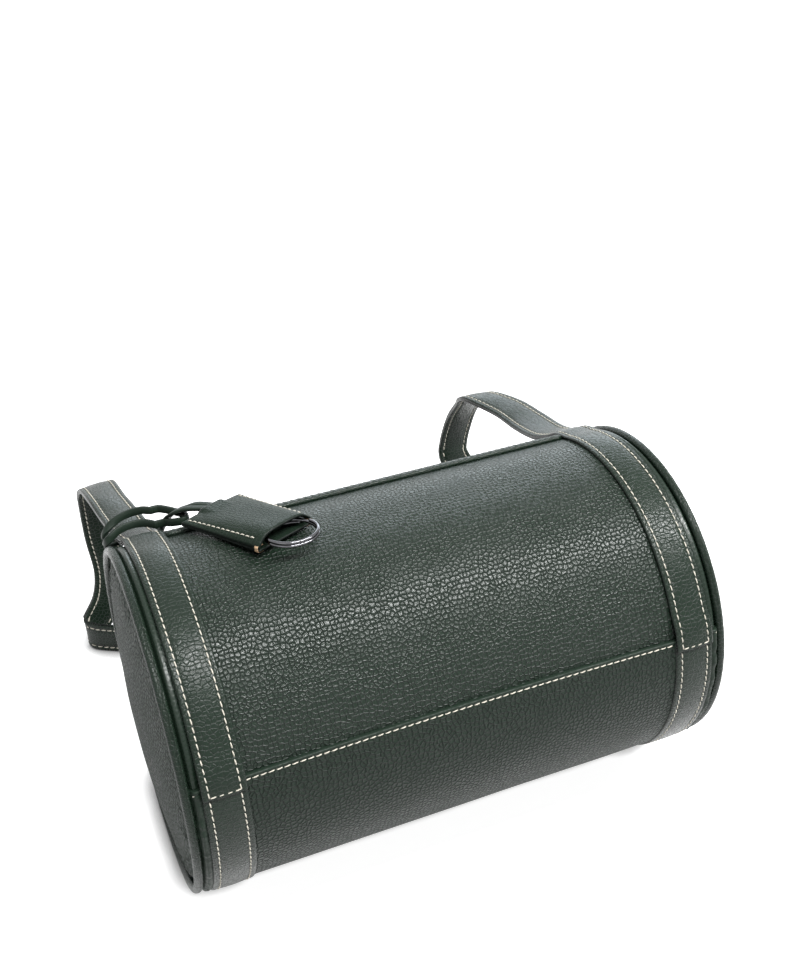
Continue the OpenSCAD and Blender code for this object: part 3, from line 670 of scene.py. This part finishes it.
def base_band(side, name):
    rings = []
    for phi in spread(FRONT_SEAM - 0.2, BACK_SEAM + 0.2, 1.2):
        ring = band_ring(wall(side * BAND_X, phi, 0), ALONG_X, radial(phi), BASE_R - 0.2, BASE_R + 1.0)
        rings.append([Vector((q.x, q.y, max(q.z, 0.0))) for q in ring])
    make(f"{name}_base_band_skin", sweep(rings, SECTION_EDGE), BAND, "bag", "band_leather",
         f"{name}_base_band")


def back_band(side, name):
    rings = [band_ring(wall(side * BAND_X, phi, 0), ALONG_X, radial(phi),
                       lap_low(phi, BACK_END, -1), lap_high(phi, BACK_END, -1))
             for phi in lap_steps(BACK_END + LAP, BACK_BAND_TOP)]
    make(f"{name}_back_band_skin", sweep(rings, SECTION_EDGE), BAND, "bag", "band_leather",
         f"{name}_back_band")


for side, name in ((-1, "left"), (1, "right")):
    base_band(side, name)
    back_band(side, name)


# Strap
def spline(p, steps):
    """A smooth curve through points, in this many steps from each to the next."""
    out = []
    for i in range(len(p) - 1):
        a, b, c, d = p[max(i - 1, 0)], p[i], p[i + 1], p[min(i + 2, len(p) - 1)]
        for k in range(steps):
            t = k / steps
            out.append((2 * b + (c - a) * t + (2 * a - 5 * b + 4 * c - d) * t * t
                        + (3 * b - a - 3 * c + d) * t ** 3) / 2)
    return out + [p[-1]]


ROOT_LEAN = radians(ZIP - 90)  # from upright, where the strap leaves the barrel beside the zip
ROOT_STUB = 10.0  # length at each root that keeps the barrel's direction
STRAP_STEPS = 9
RUN_HEIGHT = 10.3  # height of the strap's middle where it lies on the table, on its edge
ROOT = Vector((BAND_X, ROOT_R * sin(ROOT_LEAN), AXIS + ROOT_R * cos(ROOT_LEAN)))
LEFT_ROOT = Vector((-ROOT.x, ROOT.y, ROOT.z))
DOWN = Vector((0, cos(ROOT_LEAN), -sin(ROOT_LEAN)))
# x in band places, y behind the root and z in barrel radii, and the way across
LEFT_LEG = [(-1.01, 0.28, 1.65, 1, 0, 0), (-1.03, 0.57, 1.57, 1, 0, 0), (-1.05, 0.87, 1.49, 1, 0, -0.1),
            (-1.06, 1.16, 1.38, 1, 0.1, 0), (-1.07, 1.28, 1.28, 1, 0.1, 0), (-1.07, 1.35, 1.14, 1, 0.1, 0),
            (-1.07, 1.36, 0.83, 1, 0.1, 0), (-1.06, 1.30, 0.53, 1, 0, 0),
            (-1.10, 1.26, 0.31, 0.85, 0, -0.5)]
RIGHT_LEG = [(0.96, 1.58, 0.55, -1, 0, -0.1), (0.96, 1.61, 0.69, -1, 0, 0), (0.98, 1.55, 0.97, -1, 0, 0),
             (0.97, 1.37, 1.22, -1, 0, 0), (0.95, 1.26, 1.33, -1, 0.1, 0), (0.95, 1.13, 1.41, -1, 0, 0),
             (1.00, 0.84, 1.48, -1, -0.2, -0.1), (1.01, 0.54, 1.55, -1, -0.1, -0.2),
             (1.00, 0.26, 1.65, -1, 0, -0.1)]
# the same places where the strap lies behind the bag, z from its lying height
RUN = [(-1.19, 1.20, 0.04), (-1.23, 1.15, 0.01), (-1.17, 1.07, 0), (-0.95, 0.95, 0), (-0.52, 0.87, 0),
       (0, 0.85, 0), (0.52, 0.92, 0), (0.86, 1.14, 0), (1.08, 1.34, 0), (1.12, 1.43, 0.04),
       (1.05, 1.52, 0.19)]


def strap_point(x, y, z, height=0.0):
    return Vector((x * BAND_X, ROOT.y + y * R, height + z * R))


def heading(line, i):
    return (line[min(i + 1, len(line) - 1)] - line[max(i - 1, 0)]).normalized()


def frames(line, across):
    """Middle, heading, way across and way out at each point of a line."""
    out = []
    for i, c in enumerate(line):
        t = heading(line, i)
        s = (across[i] - t * across[i].dot(t)).normalized()
        out.append((c, t, s, s.cross(t).normalized()))
    return out


LINE = spline([LEFT_ROOT, LEFT_ROOT + DOWN * ROOT_STUB] + [strap_point(*s[:3]) for s in LEFT_LEG]
              + [strap_point(*s, RUN_HEIGHT) for s in RUN] + [strap_point(*s[:3]) for s in RIGHT_LEG]
              + [ROOT + DOWN * ROOT_STUB, ROOT], STRAP_STEPS)
ACROSS = spline([ALONG_X] * 2 + [Vector(s[3:]) for s in LEFT_LEG] + [Vector((0.45, 0, -0.9))]
                + [Vector((0, 0, -1))] * (len(RUN) - 2) + [Vector((-0.6, 0, -0.8))]
                + [Vector(s[3:]) for s in RIGHT_LEG] + [-ALONG_X] * 2, STRAP_STEPS)
STRAP = frames(LINE, ACROSS)
ALONG_STRAP = lengths(LINE)
STRAP_FACES = (0.03, 1.55)  # low and high face of each strap leather, from the seam between the two
HOLD = 117.0  # angle where the band's outer leather starts to rise over the strap's backing
FRONT_TOP = ZIP - 1.2  # angle where the front bands become the strap
FRONT_END = FRONT_SEAM - LAP
FRONT_STEPS = lap_steps(FRONT_END, FRONT_TOP)


def over_band(phi):
    """Low and high faces of the outer leather on the front of the bag."""
    up = smooth(HOLD, ZIP - 1.5, phi) * (ROOT_R - R)
    low = lap_low(phi, FRONT_SEAM, 1) + up
    high = lap_high(phi, FRONT_SEAM, 1) + up - 0.17 * smooth(HOLD, ZIP - 1, phi)
    return low, high


def front_rings(side):
    return [band_ring(wall(side * BAND_X, phi, 0), ALONG_X * -side, radial(phi), *over_band(phi))
            for phi in FRONT_STEPS]


def bend_with_strap(ob):
    """The object's place, baked into its mesh."""
    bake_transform(ob)


def strap_leather(name, rings, *replaced):
    bend_with_strap(make(name, sweep(rings, SECTION_EDGE), BAND, None, "band_leather", *replaced))


def strap_leathers():
    """The outer leather runs on down the bag as its two front bands."""
    outer = [band_ring(c, s, n, *STRAP_FACES) for c, t, s, n in STRAP]
    inner = [band_ring(c, -s, -n, *STRAP_FACES) for c, t, s, n in STRAP]
    strap_leather("strap_outer_skin", front_rings(-1) + outer + front_rings(1)[::-1],
                  "strap_face", "left_front_band", "right_front_band")
    strap_leather("strap_inner_skin", inner, "strap_backing")


strap_leathers()


# Stitches of bag and strap
ROW_R = R + 1.5  # radius at which the rows round the barrel are measured
ROW_X = 7.0  # distance of a row from the middle of its band
ROW_SUNK = 0.3  # how far a band's rows are sunk into it
ROW_START = 4.5  # degrees from a seam to the base band's rows
CROSS_ROW = 3.0  # degrees from a seam to the row across a band's end
SEAM_ROW = 2.3  # distance of a row from the base's fold
STRAP_ROW_H = 1.3  # height of a row over the seam between the strap's leathers


def arc_row(x, r_of, phi_a, phi_b, floor=False):
    """Stitches round the barrel from one angle to another."""
    sign = 1 if phi_b > phi_a else -1

    def at(d):
        phi = phi_a + sign * d / ROW_R * 180 / pi
        p = wall(x, phi, r_of(phi))
        if floor:
            p.z = max(p.z, 0.2)
        return p, tangent(phi) * sign, radial(phi)
    return stitch_row(at, abs(phi_b - phi_a) * pi / 180 * ROW_R)


def cross_row(side, phi, high):
    """Four stitches across the end of an upper band. high gives its top at an angle."""
    def at(d):
        return wall(side * BAND_X - ROW_X + d, phi, high(phi) - 0.02), ALONG_X, radial(phi)
    return stitch_row(at, 4 * PITCH)


def back_high(phi):
    return lap_high(phi, BACK_END, -1)


def front_high(phi):
    return over_band(phi)[1]


def band_stitches(side):
    """The rows along a side's bands: those of the bag, and those of the leather that becomes the strap."""
    bag, strap = [], []
    for x in (side * BAND_X - ROW_X, side * BAND_X + ROW_X):
        bag += arc_row(x, lambda phi: BASE_R + 0.82, FRONT_SEAM - ROW_START, BACK_SEAM + ROW_START, True)
        bag += arc_row(x, lambda phi: back_high(phi) - ROW_SUNK, BACK_BAND_TOP + 1.5, BACK_END + 3.6)
        strap += arc_row(x, lambda phi: front_high(phi) - ROW_SUNK, FRONT_END + 0.6, FRONT_TOP)
    strap += cross_row(side, FRONT_SEAM - CROSS_ROW, front_high)
    bag += cross_row(side, BACK_END + CROSS_ROW, back_high)
    return bag, strap


def seam_row(a, b, seam, sign):
    """Stitches along a base seam from one x to another."""
    def angle(x):
        return seam + sign * (seam_bow(x) - SEAM_ROW / BASE_R * 180 / pi)

    def at(d):
        p, ahead = [wall(x, angle(x), BASE_R + 0.06) for x in (a + d, a + d + 0.5)]
        return p, (ahead - p).normalized(), radial(angle(a + d))
    return stitch_row(at, b - a, pitch=PITCH if b - a > 20 else 3.3)


def strap_row(s, face, start=0.0):
    """Stitches along the strap, s from its middle. face is 1 on its outside and -1 on its inside."""
    total = ALONG_STRAP[-1]

    def at(d):
        d = min(max(d, 0.01), total - 0.01)
        i = next(k for k in range(len(LINE) - 1) if ALONG_STRAP[k + 1] >= d)
        k = (d - ALONG_STRAP[i]) / (ALONG_STRAP[i + 1] - ALONG_STRAP[i])
        c, t, w, n = [here.lerp(there, k) for here, there in zip(STRAP[i], STRAP[i + 1])]
        n.normalize()
        return c + w.normalized() * s + n * (STRAP_ROW_H * face), t.normalized(), n * face
    return stitch_row(at, total, start=start)


def sewn_rows():
    """All rows of the bag, and all rows of the strap."""
    bag, strap = [], []
    for side in (-1, 1):
        for rows, more in zip((bag, strap), band_stitches(side)):
            rows += more
    # the base seams run between the bands and on the strips outside them
    for sign, seam in ((1, FRONT_SEAM), (-1, BACK_SEAM)):
        bag += seam_row(-BAND_IN - 1.2, BAND_IN + 1.2, seam, sign)
        bag += seam_row(-HALF + 0.3, -BAND_OUT - 0.2, seam, sign)
        bag += seam_row(BAND_OUT + 0.2, HALF - 0.3, seam, sign)
    for s in (-ROW_X, ROW_X):
        strap += strap_row(s, 1) + strap_row(s, -1, start=ROOT_STUB)
    return bag, strap


# Zip facings
# section from the zip outwards: distance from the zip's middle, and height over the wall
FACING = [(5.5, 0.0), (5.45, 0.6), (5.55, 1.3), (5.85, 1.85), (6.3, 2.2), (6.9, 2.3), (7.4, 2.22),
          (7.7, 2.05), (8.0, 2.2), (8.8, 2.32), (9.8, 2.3), (10.4, 2.12), (10.7, 2.02), (11.0, 2.1),
          (11.7, 2.1), (12.2, 1.8), (12.45, 1.2), (12.5, 0.0)]
FACING_ROWS = ((7.7, 2.06), (10.7, 2.03))


def beside_zip(x, side, far, high):
    """A place beside the zip, and its angle."""
    phi = ZIP + side * far / R * 180 / pi
    return wall(x, phi, R + CLEAR + high), phi


def zip_facing(side, name):
    rings = []
    for x in spread(-BAND_IN + 0.3, BAND_IN - 0.3, 2.5):
        waver = 0.12 * lump((x, side * 40, 0), 21, 4.0)
        ring = [beside_zip(x, side, far + waver, high)[0] for far, high in FACING]
        rings.append(ring if side < 0 else ring[::-1])
    make(f"{name}_facing_skin", sweep(rings), BAND, "bag", "body_leather", f"{name}_zip_facing")


def facing_row(side, far, high):
    def at(d):
        p, phi = beside_zip(-BAND_IN + 1 + d, side, far, high)
        return p, ALONG_X, radial(phi)
    return stitch_row(at, 2 * BAND_IN - 2)


def stitches():
    zip_rows = [s for side in (-1, 1) for far, high in FACING_ROWS for s in facing_row(side, far, high)]
    bag_rows, strap_rows = sewn_rows()
    make("zip_stitches", join(zip_rows), DARK_THREAD, "bag", "cord")
    make("bag_stitches", join(bag_rows), THREAD, "bag", "cord")
    bend_with_strap(make("strap_stitches", join(strap_rows), THREAD, None, "cord"))


zip_facing(-1, "front")
zip_facing(1, "back")
stitches()


# Tag: a pouch of two leathers that lies on the bag
LEAN, TURN = radians(14), radians(-63)  # of the bag's surface under it, and of the tag on that surface
POUCH_L, POUCH_W, POUCH_T = 53.0, 37.0, 1.3
POUCH_TAPER = 0.08  # share of its width that it loses towards its mouth
MOUTH = 6.0  # how far the mouth stands open
LACE_BULGE = 2.3  # how far the lace lifts the upper leather
HALF_GAP = 0.03  # half the gap between the leathers
TAG_ROW, TAG_PITCH = 2.4, 3.3
TAG_R = R + POUCH_T + 0.9
TAG_X, TAG_ALONG = -0.6 * BAND_X, 6.6  # place of its middle on the bag
TAG_MID = Vector((TAG_X, TAG_ALONG * cos(LEAN) + TAG_R * sin(LEAN),
                  AXIS - TAG_ALONG * sin(LEAN) + TAG_R * cos(LEAN)))
LEAF_LONG, LEAF_WIDE = 44, 48


def turned(p):
    x = p[0] * cos(TURN) - p[1] * sin(TURN)
    y = p[0] * sin(TURN) + p[1] * cos(TURN)
    return Vector((x, y * cos(LEAN) + p[2] * sin(LEAN), -y * sin(LEAN) + p[2] * cos(LEAN)))


def on_bag(p):
    """A point given along, across and above the pouch."""
    return TAG_MID + turned(p)


def pouch_half(u):
    """Half the pouch's width, at a share u of its length from the lace to the mouth."""
    return POUCH_W / 2 * (1 - POUCH_TAPER * u)


def lifted(u, v, half):
    """How far the upper leather is lifted by the open mouth and by the lace inside."""
    if abs(v) >= 0.999:
        return 0.0
    mouth = MOUTH * u ** 0.6 * (1 - abs(v) ** 4.5) if u > 0 else 0.0
    bulge = LACE_BULGE * clamp((0.5 - u) / 0.3) * clamp((9.0 - abs(v) * half) / 3.0)
    return max(mouth, bulge)


def leaf_place(u, v, up):
    """Along, across, and the heights of a leather's inner and outer face."""
    x = -POUCH_L / 2 + POUCH_L * u
    half = pouch_half(u)
    low = lifted(u, v, half) if up else 0.0
    side_d = half * (1 - abs(v))
    edge_d = min(side_d, x + POUCH_L / 2, POUCH_L / 2 - x)
    rounded = 0.45 * math.exp(-(edge_d / 0.45) ** 2)
    sewn = 0.22 * math.exp(-((side_d - TAG_ROW) / 0.55) ** 2) if x + POUCH_L / 2 > 2 else 0.0
    crown = 0.12 * lump((x, v * half, 3.0 if up else 9.0), 14, 6.0)
    return x, v * half, low, low + POUCH_T - rounded - sewn + crown * smooth(0, 4, edge_d)


def leaf(up):
    """One leather of the pouch: a closed rounded sheet, its sides pressed down by the stitches."""
    way = 1 if up else -1
    shares = [j / LEAF_WIDE - 0.5 for j in range(LEAF_WIDE + 1)]
    # closer together towards both sides
    across = [sin(k * pi) * 0.35 + k * 2 * 0.65 for k in shares]
    places = [leaf_place(i / LEAF_LONG, v, up) for i in range(LEAF_LONG + 1) for v in across]
    verts = [on_bag((x, y, way * (HALF_GAP + high))) for x, y, low, high in places]
    verts += [on_bag((x, y, way * (HALF_GAP + low))) for x, y, low, high in places]
    uvs = [(x, y) for x, y, low, high in places] + [(x, y + 60) for x, y, low, high in places]
    faces, rim = slab_faces(LEAF_LONG + 1, LEAF_WIDE + 1)
    edge = [0.0] * len(verts)
    for a, b in rim:
        for k in (a, b, len(places) + a, len(places) + b):
            edge[k] = 0.9
    return verts, faces if up else [face[::-1] for face in faces], uvs, edge


make("tag_top_skin", leaf(True), TAG, "tag", "body_leather", "tag_top_leather")
make("tag_bottom_skin", leaf(False), TAG, "tag", "body_leather", "tag_bottom_leather")


# Stitches of the tag
TACK_THREADS, TACK_STEP, TACK_R = 5, 0.42, 0.24
# a thread over both leathers: distance out from the pouch's edge, and height
TACK = [(-3.2, POUCH_T + 0.15), (-1.4, POUCH_T + 0.28), (0.05, POUCH_T - 0.1), (0.22, 0),
        (0.05, -POUCH_T + 0.1), (-1.4, -POUCH_T - 0.22), (-3.2, -POUCH_T - 0.1)]


def tag_seam(x, side, face):
    """A place on the pouch's seam, on its upper face (1) or its lower one (-1)."""
    u = (x + POUCH_L / 2) / POUCH_L
    half = pouch_half(u)
    y = half - TAG_ROW
    z = lifted(u, y / half, half) + POUCH_T - 0.12 if face > 0 else -POUCH_T + 0.1
    return on_bag((x, side * y, z))


def tag_row(side, face):
    def at(d):
        x = -POUCH_L / 2 + 2.0 + d
        p, ahead = tag_seam(x, side, face), tag_seam(x + 0.53, side, face)
        return p, (ahead - p).normalized(), turned((0, 0, 1)) * face
    return stitch_row(at, POUCH_L - 5.0, pitch=TAG_PITCH, length=2.5)


def bar_tack(side, k):
    """One thread of the tack that holds the edges together at the mouth."""
    x = POUCH_L / 2 - 1.1 - k * TACK_STEP
    path = spline([on_bag((x, side * (pouch_half(1) + out), z)) for out, z in TACK], 3)
    along = turned((1, 0, 0))
    rings = []
    for i, p in enumerate(path):
        n = along.cross(heading(path, i)).normalized()
        rings.append([p + along * (cos(b) * TACK_R) + n * (sin(b) * TACK_R) for b in SIXTHS])
    return sweep(rings)


def tag_stitches():
    tacks = [bar_tack(side, k) for side in (-1, 1) for k in range(TACK_THREADS)]
    rows = [s for side in (-1, 1) for face in (1, -1) for s in tag_row(side, face)]
    make("tag_bar_tacks", join(tacks), TAN_THREAD, "tag", "cord")
    make("tag_stitches", join(rows), THREAD, "tag", "cord")


tag_stitches()


# Key ring
RING_D, WIRE = 26.0, 1.7
RING_H = 1.9 * WIRE  # height of its two turns together
RING_Z = 1.15 + RING_H / 2  # height of its middle over the seam between the tag's leathers
RING_OUT = 4.0  # its middle, beyond the pouch's mouth
RING_START, RING_TURNS, RING_STEPS, WIRE_SIDES = radians(118), 1.93, 200, 12


def key_ring():
    """A split ring. Its wire lies flat for most of each turn and steps over halfway along."""
    radius = (RING_D - WIRE) / 2
    rings = []
    for i in range(RING_STEPS + 1):
        k = i / RING_STEPS
        a = RING_START + 2 * pi * RING_TURNS * k
        z = (smooth(0.44, 0.56, k) - 0.5) * (RING_H - WIRE)
        c = Vector((radius * cos(a), radius * sin(a), z))
        out = Vector((cos(a), sin(a), 0))
        ring = []
        for b in [2 * pi * j / WIRE_SIDES for j in range(WIRE_SIDES)]:
            # slightly flat where the turns touch
            flat = 0.93 if (sin(b) > 0) == (z < 0) else 1.0
            q = c + out * (cos(b) * WIRE / 2) + Vector((0, 0, sin(b) * WIRE / 2 * flat))
            ring.append(on_bag((POUCH_L / 2 + RING_OUT + q.x, q.y, RING_Z + q.z)))
        rings.append(ring)
    make("key_ring_wire", sweep(rings), RING_METAL, "ring", "ring_metal", "key_ring")


key_ring()


# Lace: its route, from the strap's left root
FAR_WRAP = [(11, 20, -0.8), (9.8, 20, -0.8), (8.6, 20, -0.8), (4.5, 22.5, -1.3), (-2, 24.5, -3.2),
            (-8.5, 24, -5.2), (-15, 22.5, -10), (-15.2, 22.3, -14.5), (-11.4, 23.5, -17.5),
            (-3.5, 26, -19), (3.5, 25.6, -18.4), (8.6, 25, -17.8), (9.8, 25, -17.8)]
NEAR_WRAP = [(9.8, 9, -1.5), (8.6, 9, -1.5), (4.5, 12.5, -1.8), (-1.5, 14.2, -2.2), (-8.5, 12.5, -2.2),
             (-14.5, 10, -4.5), (-16.4, 12, -8.5), (-15.2, 16.5, -13), (-10.5, 19.5, -15.8),
             (-3.5, 20.5, -16.3), (3.5, 19.8, -16), (8.6, 19.5, -15.8), (9.8, 19.5, -15.8)]
BIGHT = [(13.3, 19.6, -0.8), (16.5, 16.8, -0.4), (19.8, 13, 0.2), (22.6, 8.6, 1.4), (23.8, 4, 2.6),
         (22.2, 1, 3.4), (19.2, 1.6, 2.8), (16, 4.2, 1.2), (13.3, 8.2, -1)]
FAR_END = [(12.3, 25, -17.8), (13.6, 24.6, -17), (15.6, 19, -9), (17, 12.8, -1.4), (19.9, 8.4, 4.2),
           (24, 6.6, 6.4), (29.2, 4.9, 8)]
NEAR_END = [(12.3, 19.5, -15.8), (13, 19, -14.9), (13.8, 15, -7.5), (15, 9.8, 0.4), (18, 4.9, 6.2),
            (22, 3.6, 8), (26.2, 1.4, 9)]
# the way across the lace along each of its two ends
END_ACROSS = [(0, 0.9, -0.44), (0.1, 0.9, -0.4), (0.7, 0.6, -0.1), (0.85, 0.5, -0.1),
              (0.85, 0.5, -0.1), (0.87, 0.46, -0.1), (0.87, 0.46, -0.1)]
UNDER_ACROSS, OVER_ACROSS = Vector((0, 0.9, -0.44)), Vector((0, 0.3, 0.95))
LACE_W, LACE_T, LACE_APART, LACE_STEPS = 4.0, 1.8, 2.1, 6
# as shares of its width and thickness
LACE_SECTION = [(0.5, -0.18), (0.5, 0.18), (0.47, 0.38), (0.38, 0.49), (0.0, 0.52), (-0.38, 0.49),
                (-0.47, 0.38), (-0.5, 0.18), (-0.5, -0.18), (-0.47, -0.38), (-0.38, -0.49),
                (0.0, -0.52), (0.38, -0.49), (0.47, -0.38)][::-1]
LACE_EDGE = [0.55 if abs(a) > 0.46 and abs(b) < 0.3 else 0.0 for a, b in LACE_SECTION]


def lace_across(q):
    """The lace lies flat under the strap and stands on its edge above it."""
    return UNDER_ACROSS.lerp(OVER_ACROSS, smooth(-14, -2, q[2]))


def lace():
    """From the pouch under the strap, over it, through its own loop and back to the pouch."""
    first, last = [[on_bag((-POUCH_L / 2 + d, side * LACE_APART, LACE_T / 2 + 0.1)) for d in (6, 0, -2)]
                   for side in (1, -1)]
    flat = [turned((0, 1, 0))] * 3
    middle = FAR_WRAP[::-1] + BIGHT + NEAR_WRAP
    line = first + [LEFT_ROOT + Vector(q) for q in FAR_END[::-1] + middle + NEAR_END] + last[::-1]
    wide = (flat + [Vector(w) for w in END_ACROSS[::-1]] + [lace_across(q) for q in middle]
            + [Vector(w) for w in END_ACROSS] + flat)
    rings = [[c + s * (a * LACE_W) + n * (b * LACE_T) for a, b in LACE_SECTION]
             for c, t, s, n in frames(spline(line, LACE_STEPS), spline(wide, LACE_STEPS))]
    ob = make("lace_skin", sweep(rings, LACE_EDGE), LACE, None, "lace_leather",
              "tag_lace_loops", "tag_lace")
    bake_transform(ob)


lace()


# Parts that stay as they come from the CAD
PAINT = ((BOARD, ("base_board", "left_end_board", "right_end_board")), (LINING, ("lining",)),
         (CORD, ("left_piping_core", "right_piping_core")), (TAPE, ("front_zip_tape", "back_zip_tape")),
         (ZIP_METAL, ("front_zip_teeth", "back_zip_teeth", "zip_stops", "zip_slider", "zip_pull_ring")),
         (LACE, ("zip_pull_tab", "key_ring_loop")))
for mat, names in PAINT:
    for name in names:
        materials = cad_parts[name].data.materials
        materials.clear()
        materials.append(mat)


# Camera, floor and light, in metres
LENS, SENSOR = 47.40, 36.0
EYE = (-0.1779, -0.4266, 0.5442)
RIGHT, UP = Vector((0.92542, -0.37895, 0.0)), Vector((0.23050, 0.56291, 0.79373))
AHEAD = Vector((0.30078, 0.73453, -0.60827))
FLOOR_HALF = 3
FLOOR_GLOW = 0.95
FLOOR_MIRROR = 0.5  # a reflection shows the lamps' light on the floor too, so it needs less glow
CONTACT = 0.012  # how far the shade reaches where the bag nearly touches the floor
CONTACT_DEPTH = 2.2
WHITE = (1, 1, 1, 1)
SEEN_WORLD, DIM_WORLD = 1.0, 0.10
AIM = (0, 0.0, 0.09)


def placed(ob, right, up, back, place):
    """Put an object in the scene from its three axes and its place."""
    rows = [(right[i], up[i], back[i], place[i]) for i in range(3)]
    ob.matrix_world = Matrix((*rows, (0, 0, 0, 1)))
    bpy.context.scene.collection.objects.link(ob)


def camera():
    cam = bpy.data.cameras.new("camera")
    cam.lens = LENS
    cam.sensor_width = SENSOR
    cam.clip_start = 0.01
    ob = bpy.data.objects.new("camera", cam)
    placed(ob, RIGHT, UP, -AHEAD, EYE)
    bpy.context.scene.camera = ob


def sight_rays(nt, mirror_share=1.0):
    """1 for rays that show the background: straight, mirrored or through glass."""
    path = nt.nodes.new("ShaderNodeLightPath")
    mirrored = math_node(nt, "MAXIMUM", path.outputs["Is Glossy Ray"], path.outputs["Is Transmission Ray"])
    kept = math_node(nt, "MULTIPLY", mirrored, mirror_share)
    return math_node(nt, "MAXIMUM", path.outputs["Is Camera Ray"], kept)


def floor_mat():
    """White paper, with a painted contact shadow where the bag nearly touches it. It glows only in rays
    that show it.
    """
    m, nt, bs = new_mat("floor")
    tone = node(nt, "ShaderNodeTexNoise", in_Scale=3.0)
    # painted contact shadow: ambient occlusion near the bag darkens the paper's colour and its glow
    near_bag = node(nt, "ShaderNodeAmbientOcclusion", in_Distance=CONTACT)
    shade = math_node(nt, "POWER", near_bag.outputs["AO"], CONTACT_DEPTH)
    paper = ramp(nt, tone.outputs["Fac"], [(0.3, 0.68), (0.7, 0.70)])
    nt.links.new(vector_node(nt, "SCALE", paper, shade, "Scale"), bs.inputs["Base Color"])
    bs.inputs["Roughness"].default_value = 0.7
    bs.inputs["Specular IOR Level"].default_value = 0.2
    bs.inputs["Emission Color"].default_value = WHITE
    glow = math_node(nt, "MULTIPLY", sight_rays(nt, FLOOR_MIRROR), FLOOR_GLOW)
    nt.links.new(math_node(nt, "MULTIPLY", glow, shade), bs.inputs["Emission Strength"])
    return m


def floor():
    me = bpy.data.meshes.new("floor")
    corners = [(x * FLOOR_HALF, y * FLOOR_HALF, 0) for x, y in ((-1, -1), (1, -1), (1, 1), (-1, 1))]
    me.from_pydata(corners, [], [(0, 1, 2, 3)])
    me.materials.append(floor_mat())
    ob = bpy.data.objects.new("floor", me)
    bpy.context.scene.collection.objects.link(ob)


def background(nt, strength):
    bg = nt.nodes.new("ShaderNodeBackground")
    bg.inputs["Color"].default_value = WHITE
    bg.inputs["Strength"].default_value = strength
    return bg.outputs[0]


def studio():
    """A white surround that is seen and mirrored, but adds little light."""
    world = bpy.data.worlds.new("studio")
    world.use_nodes = True
    bpy.context.scene.world = world
    nt = world.node_tree
    nt.nodes.clear()
    out = nt.nodes.new("ShaderNodeOutputWorld")
    mixed = nt.nodes.new("ShaderNodeMixShader")
    nt.links.new(sight_rays(nt), mixed.inputs[0])
    nt.links.new(background(nt, DIM_WORLD), mixed.inputs[1])
    nt.links.new(background(nt, SEEN_WORLD), mixed.inputs[2])
    nt.links.new(mixed.outputs[0], out.inputs[0])


def softbox(name, place, size, power, colour=(1, 1, 1)):
    """A rectangular lamp, aimed at the bag, whose long side lies along X."""
    lamp = bpy.data.lights.new(name, "AREA")
    lamp.shape = "RECTANGLE"
    lamp.size, lamp.size_y = size
    lamp.energy = power
    lamp.color = colour
    back = (Vector(place) - Vector(AIM)).normalized()
    side = (ALONG_X - back * back.x).normalized()
    placed(bpy.data.objects.new(name, lamp), side, back.cross(side), back, place)


camera()
floor()
studio()
softbox("key_light", (0.38, -0.36, 1.25), (1.7, 0.15), 42.0)
softbox("top_light", (0.2, 1.0, 1.5), (2.4, 1.4), 1.2)
softbox("back_light", (0.75, 1.45, 0.34), (1.5, 0.4), 8.0, (0.82, 0.92, 1.0))
softbox("left_light", (-1.4, -0.5, 0.9), (0.9, 0.8), 1.5)
bpy.context.scene.view_settings.view_transform = "Standard"
